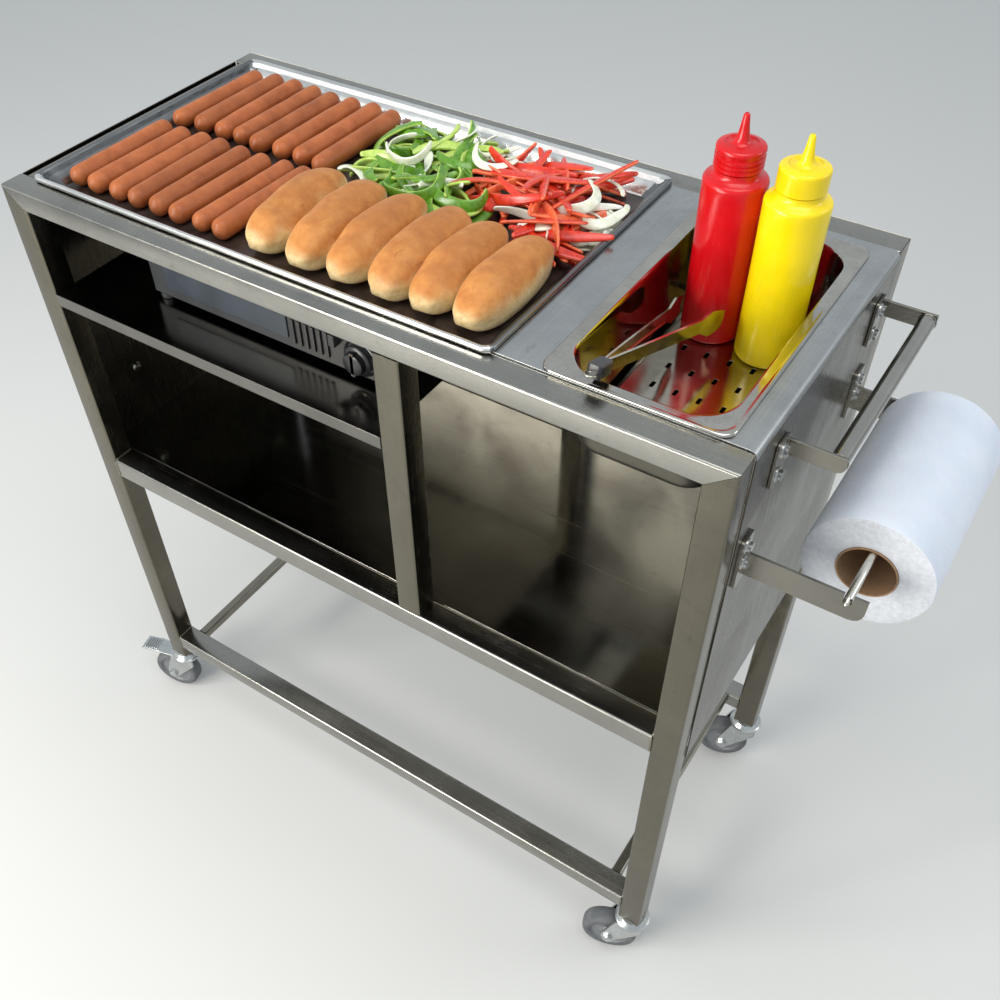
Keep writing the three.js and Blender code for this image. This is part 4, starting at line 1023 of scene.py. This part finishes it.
def make_stove():
    """A camping stove with its label plate, controls, vents, latch, dial, burner cap and pan supports."""
    box, knob = Box("stove_body"), Box("stove_knob")
    black = enamel("stove_black", (0.018, 0.018, 0.02), 0.35, 0.1)
    # The body enamel and the label plate below are tinted darker as painted shade of the bay the stove stands in.
    body = enamel("stove_enamel", (0.018, 0.021, 0.025), 0.5, 0.05)
    refined("stove_body", "stove", "stove_enamel", body, 1.4, 30)
    left = Vector((box.low.x, box.low.y, box.low.z + 8 * MM))
    right = Vector((box.high.x, left.y, left.z))
    label = plate(left + Vector((112, 0, 26)) * MM, 88, 15, 3, (0, -1.6))
    build("stove_label_plate", *label, "stove", "stove_enamel",
          enamel("stove_plate_painted_shade", (0.022, 0.032, 0.046), 0.4, 0.05), bevel=0.6)
    build("stove_control_panel", *plate(right + Vector((-60, 0, 24)) * MM, 57, 22, 4, (0.2, -0.2)), "stove",
          "stove_enamel", black)
    vents = [block(left, (206 + k * VENT_PITCH, -2.4, 8), (210 + k * VENT_PITCH, 1, 38))
             for k in range(VENT_COUNT)]
    build("stove_vents", *merged(vents), "stove", "stove_enamel", black, bevel=0.5)
    build("stove_latch", *block(left, (262, -9, 30), (270, 1, 44)), "stove", "stove_enamel", black, bevel=0.8)

    r, depth = knob.size.x / 2, knob.size.y
    middle = Vector((knob.centre.x, knob.low.y, knob.centre.z))
    ring = lathe([(r + 4.4, 0), (r + 4.2, -2.2), (r + 2.8, -3.4), (r + 1.4, -2.2), (r + 1.2, 0)],
                 (middle.x, left.y - 0.05 * MM, middle.z), "y", closed=True)
    chrome = polished("stove_chrome", (0.72, 0.71, 0.68), 0.1)
    build("stove_knob_ring", *ring, "stove", "bolt_zinc", chrome, smooth=50)
    dial = lathe([(0.3, 0), (r * 0.62, 0), (r * 0.7, 0.8), (r * 0.78, depth * 0.42), (r * 0.96, depth * 0.5),
                  (r, depth * 0.56), (r, depth - 0.6), (r - 0.6, depth), (0.3, depth)], middle, "y")
    build("stove_knob_finish", *dial, "stove_knob", "black_plastic", black, replaces="stove_knob", smooth=40)
    build("stove_knob_bar", *block(middle, (-3, 0, 3 - r), (3, 6, r - 3)), "stove_knob", "black_plastic",
          black, replaces="stove_knob", bevel=1)
    build("stove_knob_pointer", *block(middle, (-0.8, 0, r - 10), (0.8, 1, r - 3.4)), "stove_knob", "bolt_zinc",
          polished("stove_copper", (0.55, 0.26, 0.10), 0.2), replaces="stove_knob")

    burner = Vector((left.x + BURNER_X * MM, box.centre.y, box.high.z - BURNER_SINK * MM))
    cap = lathe([(0.3, 0), (30, 0), (31, 2), (22, 4.6), (0.3, 4.8)], burner)
    build("stove_burner", *cap, "stove", "stove_enamel", black, smooth=40)
    supports = [block(burner, (34, -1.6, 0), (72, 1.6, 4.6), Matrix.Rotation(a, 3, "Z"))
                for a in circle(SUPPORT_COUNT)]
    build("stove_pan_supports", *merged(supports), "stove", "stove_enamel", black, bevel=0.6)


# ---------------------------------------------------------------- paper roll
ROLL_CORE, ROLL_CORE_WALL = 27, 1.5
FLAP_STEPS, FLAP_START, FLAP_SWEEP = 13, 200, 22  # the loose end, in degrees round the roll


def make_roll():
    """The roll of paper towel, its core tube, its loose end and the rod that carries it."""
    box = Box("paper_roll")
    centre = Vector((box.centre.x, box.low.y, box.centre.z))
    length, radius = box.size.y, box.size.x / 2 - 0.25
    paper = tissue("roll_paper")
    rings = board("roll_layers", (0.66, 0.68, 0.73), (centre.x, 0, centre.z))
    steps = 96
    end = [(ROLL_CORE + 1.6, 1.4), (ROLL_CORE + 5, 0.5), (radius * 0.8, 0.2), (radius - 2, 0.2),
           (radius - 0.5, 0.9), (radius, 2.6)]
    side = [(radius, 2.6 + (length - 5.2) * k / 14) for k in range(1, 14)]
    profile = end + side + mirrored(end, length)
    vertices, faces = lathe(profile, centre, "y", steps, closed=True)
    for v in vertices:
        out = Vector((v.x - centre.x, 0, v.z - centre.z))
        if out.length > radius * MM * 0.9:
            ripple = noise.noise(Vector((v.x * 30, v.y * 9, v.z * 30))) * 0.7
            v -= out.normalized() * max(0, 0.35 + ripple) * MM
    indices = []
    for k in range(len(profile)):
        indices += [0 if 4 <= k < len(profile) - 5 else 1] * steps
    build("paper_roll_finish", vertices, faces, "paper_roll", "roll_paper", [paper, rings], materials=indices,
          replaces="paper_roll", smooth=45)
    outer = ROLL_CORE + ROLL_CORE_WALL
    tube = lathe([(ROLL_CORE, 0), (ROLL_CORE, length * 0.5), (ROLL_CORE, length), (outer, length),
                  (outer, length * 0.5), (outer, 0)], centre, "y", 64, closed=True)
    build("roll_core_tube", *tube, "paper_roll", "roll_paper", board("roll_core", (0.33, 0.20, 0.11)),
          replaces="paper_roll", smooth=50)
    flap = []
    for k in range(FLAP_STEPS):
        t = k / (FLAP_STEPS - 1)
        angle = math.radians(FLAP_START + FLAP_SWEEP * t)
        lift = radius - 0.65 + 0.9 * t ** 2
        near, far = ([centre + Vector((r * math.cos(angle), 1 + (length - 2) * j / 24, r * math.sin(angle))) * MM
                      for j in range(25)] for r in (lift, lift + 0.35))
        flap.append(near + far[::-1])
    build("roll_loose_end", *skin(flap), "paper_roll", "roll_paper", paper, replaces="paper_roll", smooth=60)

    rod = Box("roll_rod")
    r, length = rod.size.x / 2, rod.size.y
    tip = [(0.2, 0), (1, 0.4), (r * 0.8, 5), (r, 9)]
    profile = tip + [(r, length / 2)] + mirrored(tip, length)
    shape = lathe(profile, (rod.centre.x, rod.low.y, rod.centre.z), "y", 32)
    build("roll_rod_finish", *shape, "roll_rod", "bolt_zinc",
          polished("rod_zinc", (0.70, 0.68, 0.62), 0.2), replaces="roll_rod", smooth=50)


# ---------------------------------------------------------------- casters
CASTERS = {"front_left": 14, "front_right": 18, "rear_left": 14, "rear_right": 18}  # headings in degrees
CASTER_TRAIL, WHEEL_HALF, NUT_REACH, BORE = 27, 12, 16.7, 4.35
RIB_COUNT, RIB_PITCH, RIB_START = 6, 4.4, -75
RACE = [(22.6, 84.2), (23.4, 85.4), (23.2, 87.6), (21.2, 88.8), (20, 88), (20.4, 85)]


def wheel_profile(radius):
    """A wheel's section, from the bore out to the tread on one side and back on the other."""
    half = WHEEL_HALF
    face = half - 4
    side = [(BORE, half + 0.6), (10.6, half + 0.6), (11.4, half - 0.2), (12, face + 0.8), (13.4, face), (24, face),
            (25.6, face + 0.8), (26.4, half - 1), (27.6, half - 0.3), (radius - 5, half - 0.2),
            (radius - 2.4, half - 1.4), (radius - 0.7, half - 4.2), (radius - 0.05, half - 8)]
    return side + [(radius, 0)] + mirrored(side, 0)


def make_casters():
    """Four swivel casters and the brake pedal of the front left one."""
    zinc = polished("caster_zinc", (0.56, 0.58, 0.58), 0.26)
    tread = rubber("caster_tread", (0.085, 0.092, 0.10))
    hub = plastic("caster_hub", (0.16, 0.17, 0.18), 0.42, 0)
    steps = 64
    for corner, heading in CASTERS.items():
        turn = Matrix.Rotation(math.radians(heading), 3, "Z")
        swivel = f"swivel_{corner}"
        box = Box(f"caster_stem_{corner}")
        stem = Vector((box.centre.x, box.centre.y, 0))
        refined(f"caster_stem_{corner}", "cart", "caster_zinc", zinc, 0.5, 40)
        refined(f"caster_fork_{corner}", swivel, "caster_zinc", zinc, 0.6, 32)
        radius = Box(f"caster_wheel_{corner}").size.z / 2
        axle = stem + turn @ (Vector((-CASTER_TRAIL, 0, radius)) * MM)
        profile = wheel_profile(radius)
        vertices, faces = lathe(profile, axle, steps=steps, closed=True, turn=turn @ AXES["y"])
        indices = []
        for k in range(len(profile)):
            indices += [0 if 7 <= k <= len(profile) - 9 else 1] * steps
        build(f"caster_wheel_{corner}_finish", vertices, faces, f"wheel_{corner}", "wheel_tread", [tread, hub],
              materials=indices, replaces=f"caster_wheel_{corner}", smooth=50)
        nuts = []
        for out in (turn @ Vector((0, -1, 0)), turn @ Vector((0, 1, 0))):
            nuts.append(hex_bolt(axle + out * NUT_REACH * MM, out, washer=6.6, head=5.6, height=3))
        build(f"caster_axle_nuts_{corner}", *merged(nuts), swivel, "bolt_zinc", zinc, smooth=28)
        build(f"caster_race_{corner}", *lathe(RACE, stem, closed=True), swivel, "caster_zinc", zinc, smooth=50)
        if corner == "front_left":
            ribs = []
            for along in (k * RIB_PITCH for k in range(RIB_COUNT)):
                x = RIB_START + along
                ribs.append(block(stem, (x, -10, 80.6 + along * 0.13),
                                  (x + 1.6, 10, 82.2 + along * 0.12), turn))
    refined("brake_pedal_front_left", "brake_pedal", "caster_zinc", zinc, 0.4, 32)
    build("brake_pedal_ribs", *merged(ribs), "brake_pedal", "caster_zinc", zinc, bevel=0.4)


make_camera()
make_studio()
make_frame()
make_welds()
make_fastenings()
make_tray()
make_pan()
make_bottle("ketchup", (0.56, 0.002, 0.006), 3)
make_bottle("mustard", (0.90, 0.68, 0.002), 0)
make_tongs()
make_sausages()
make_buns()
make_vegetables()
make_stove()
make_roll()
make_casters()
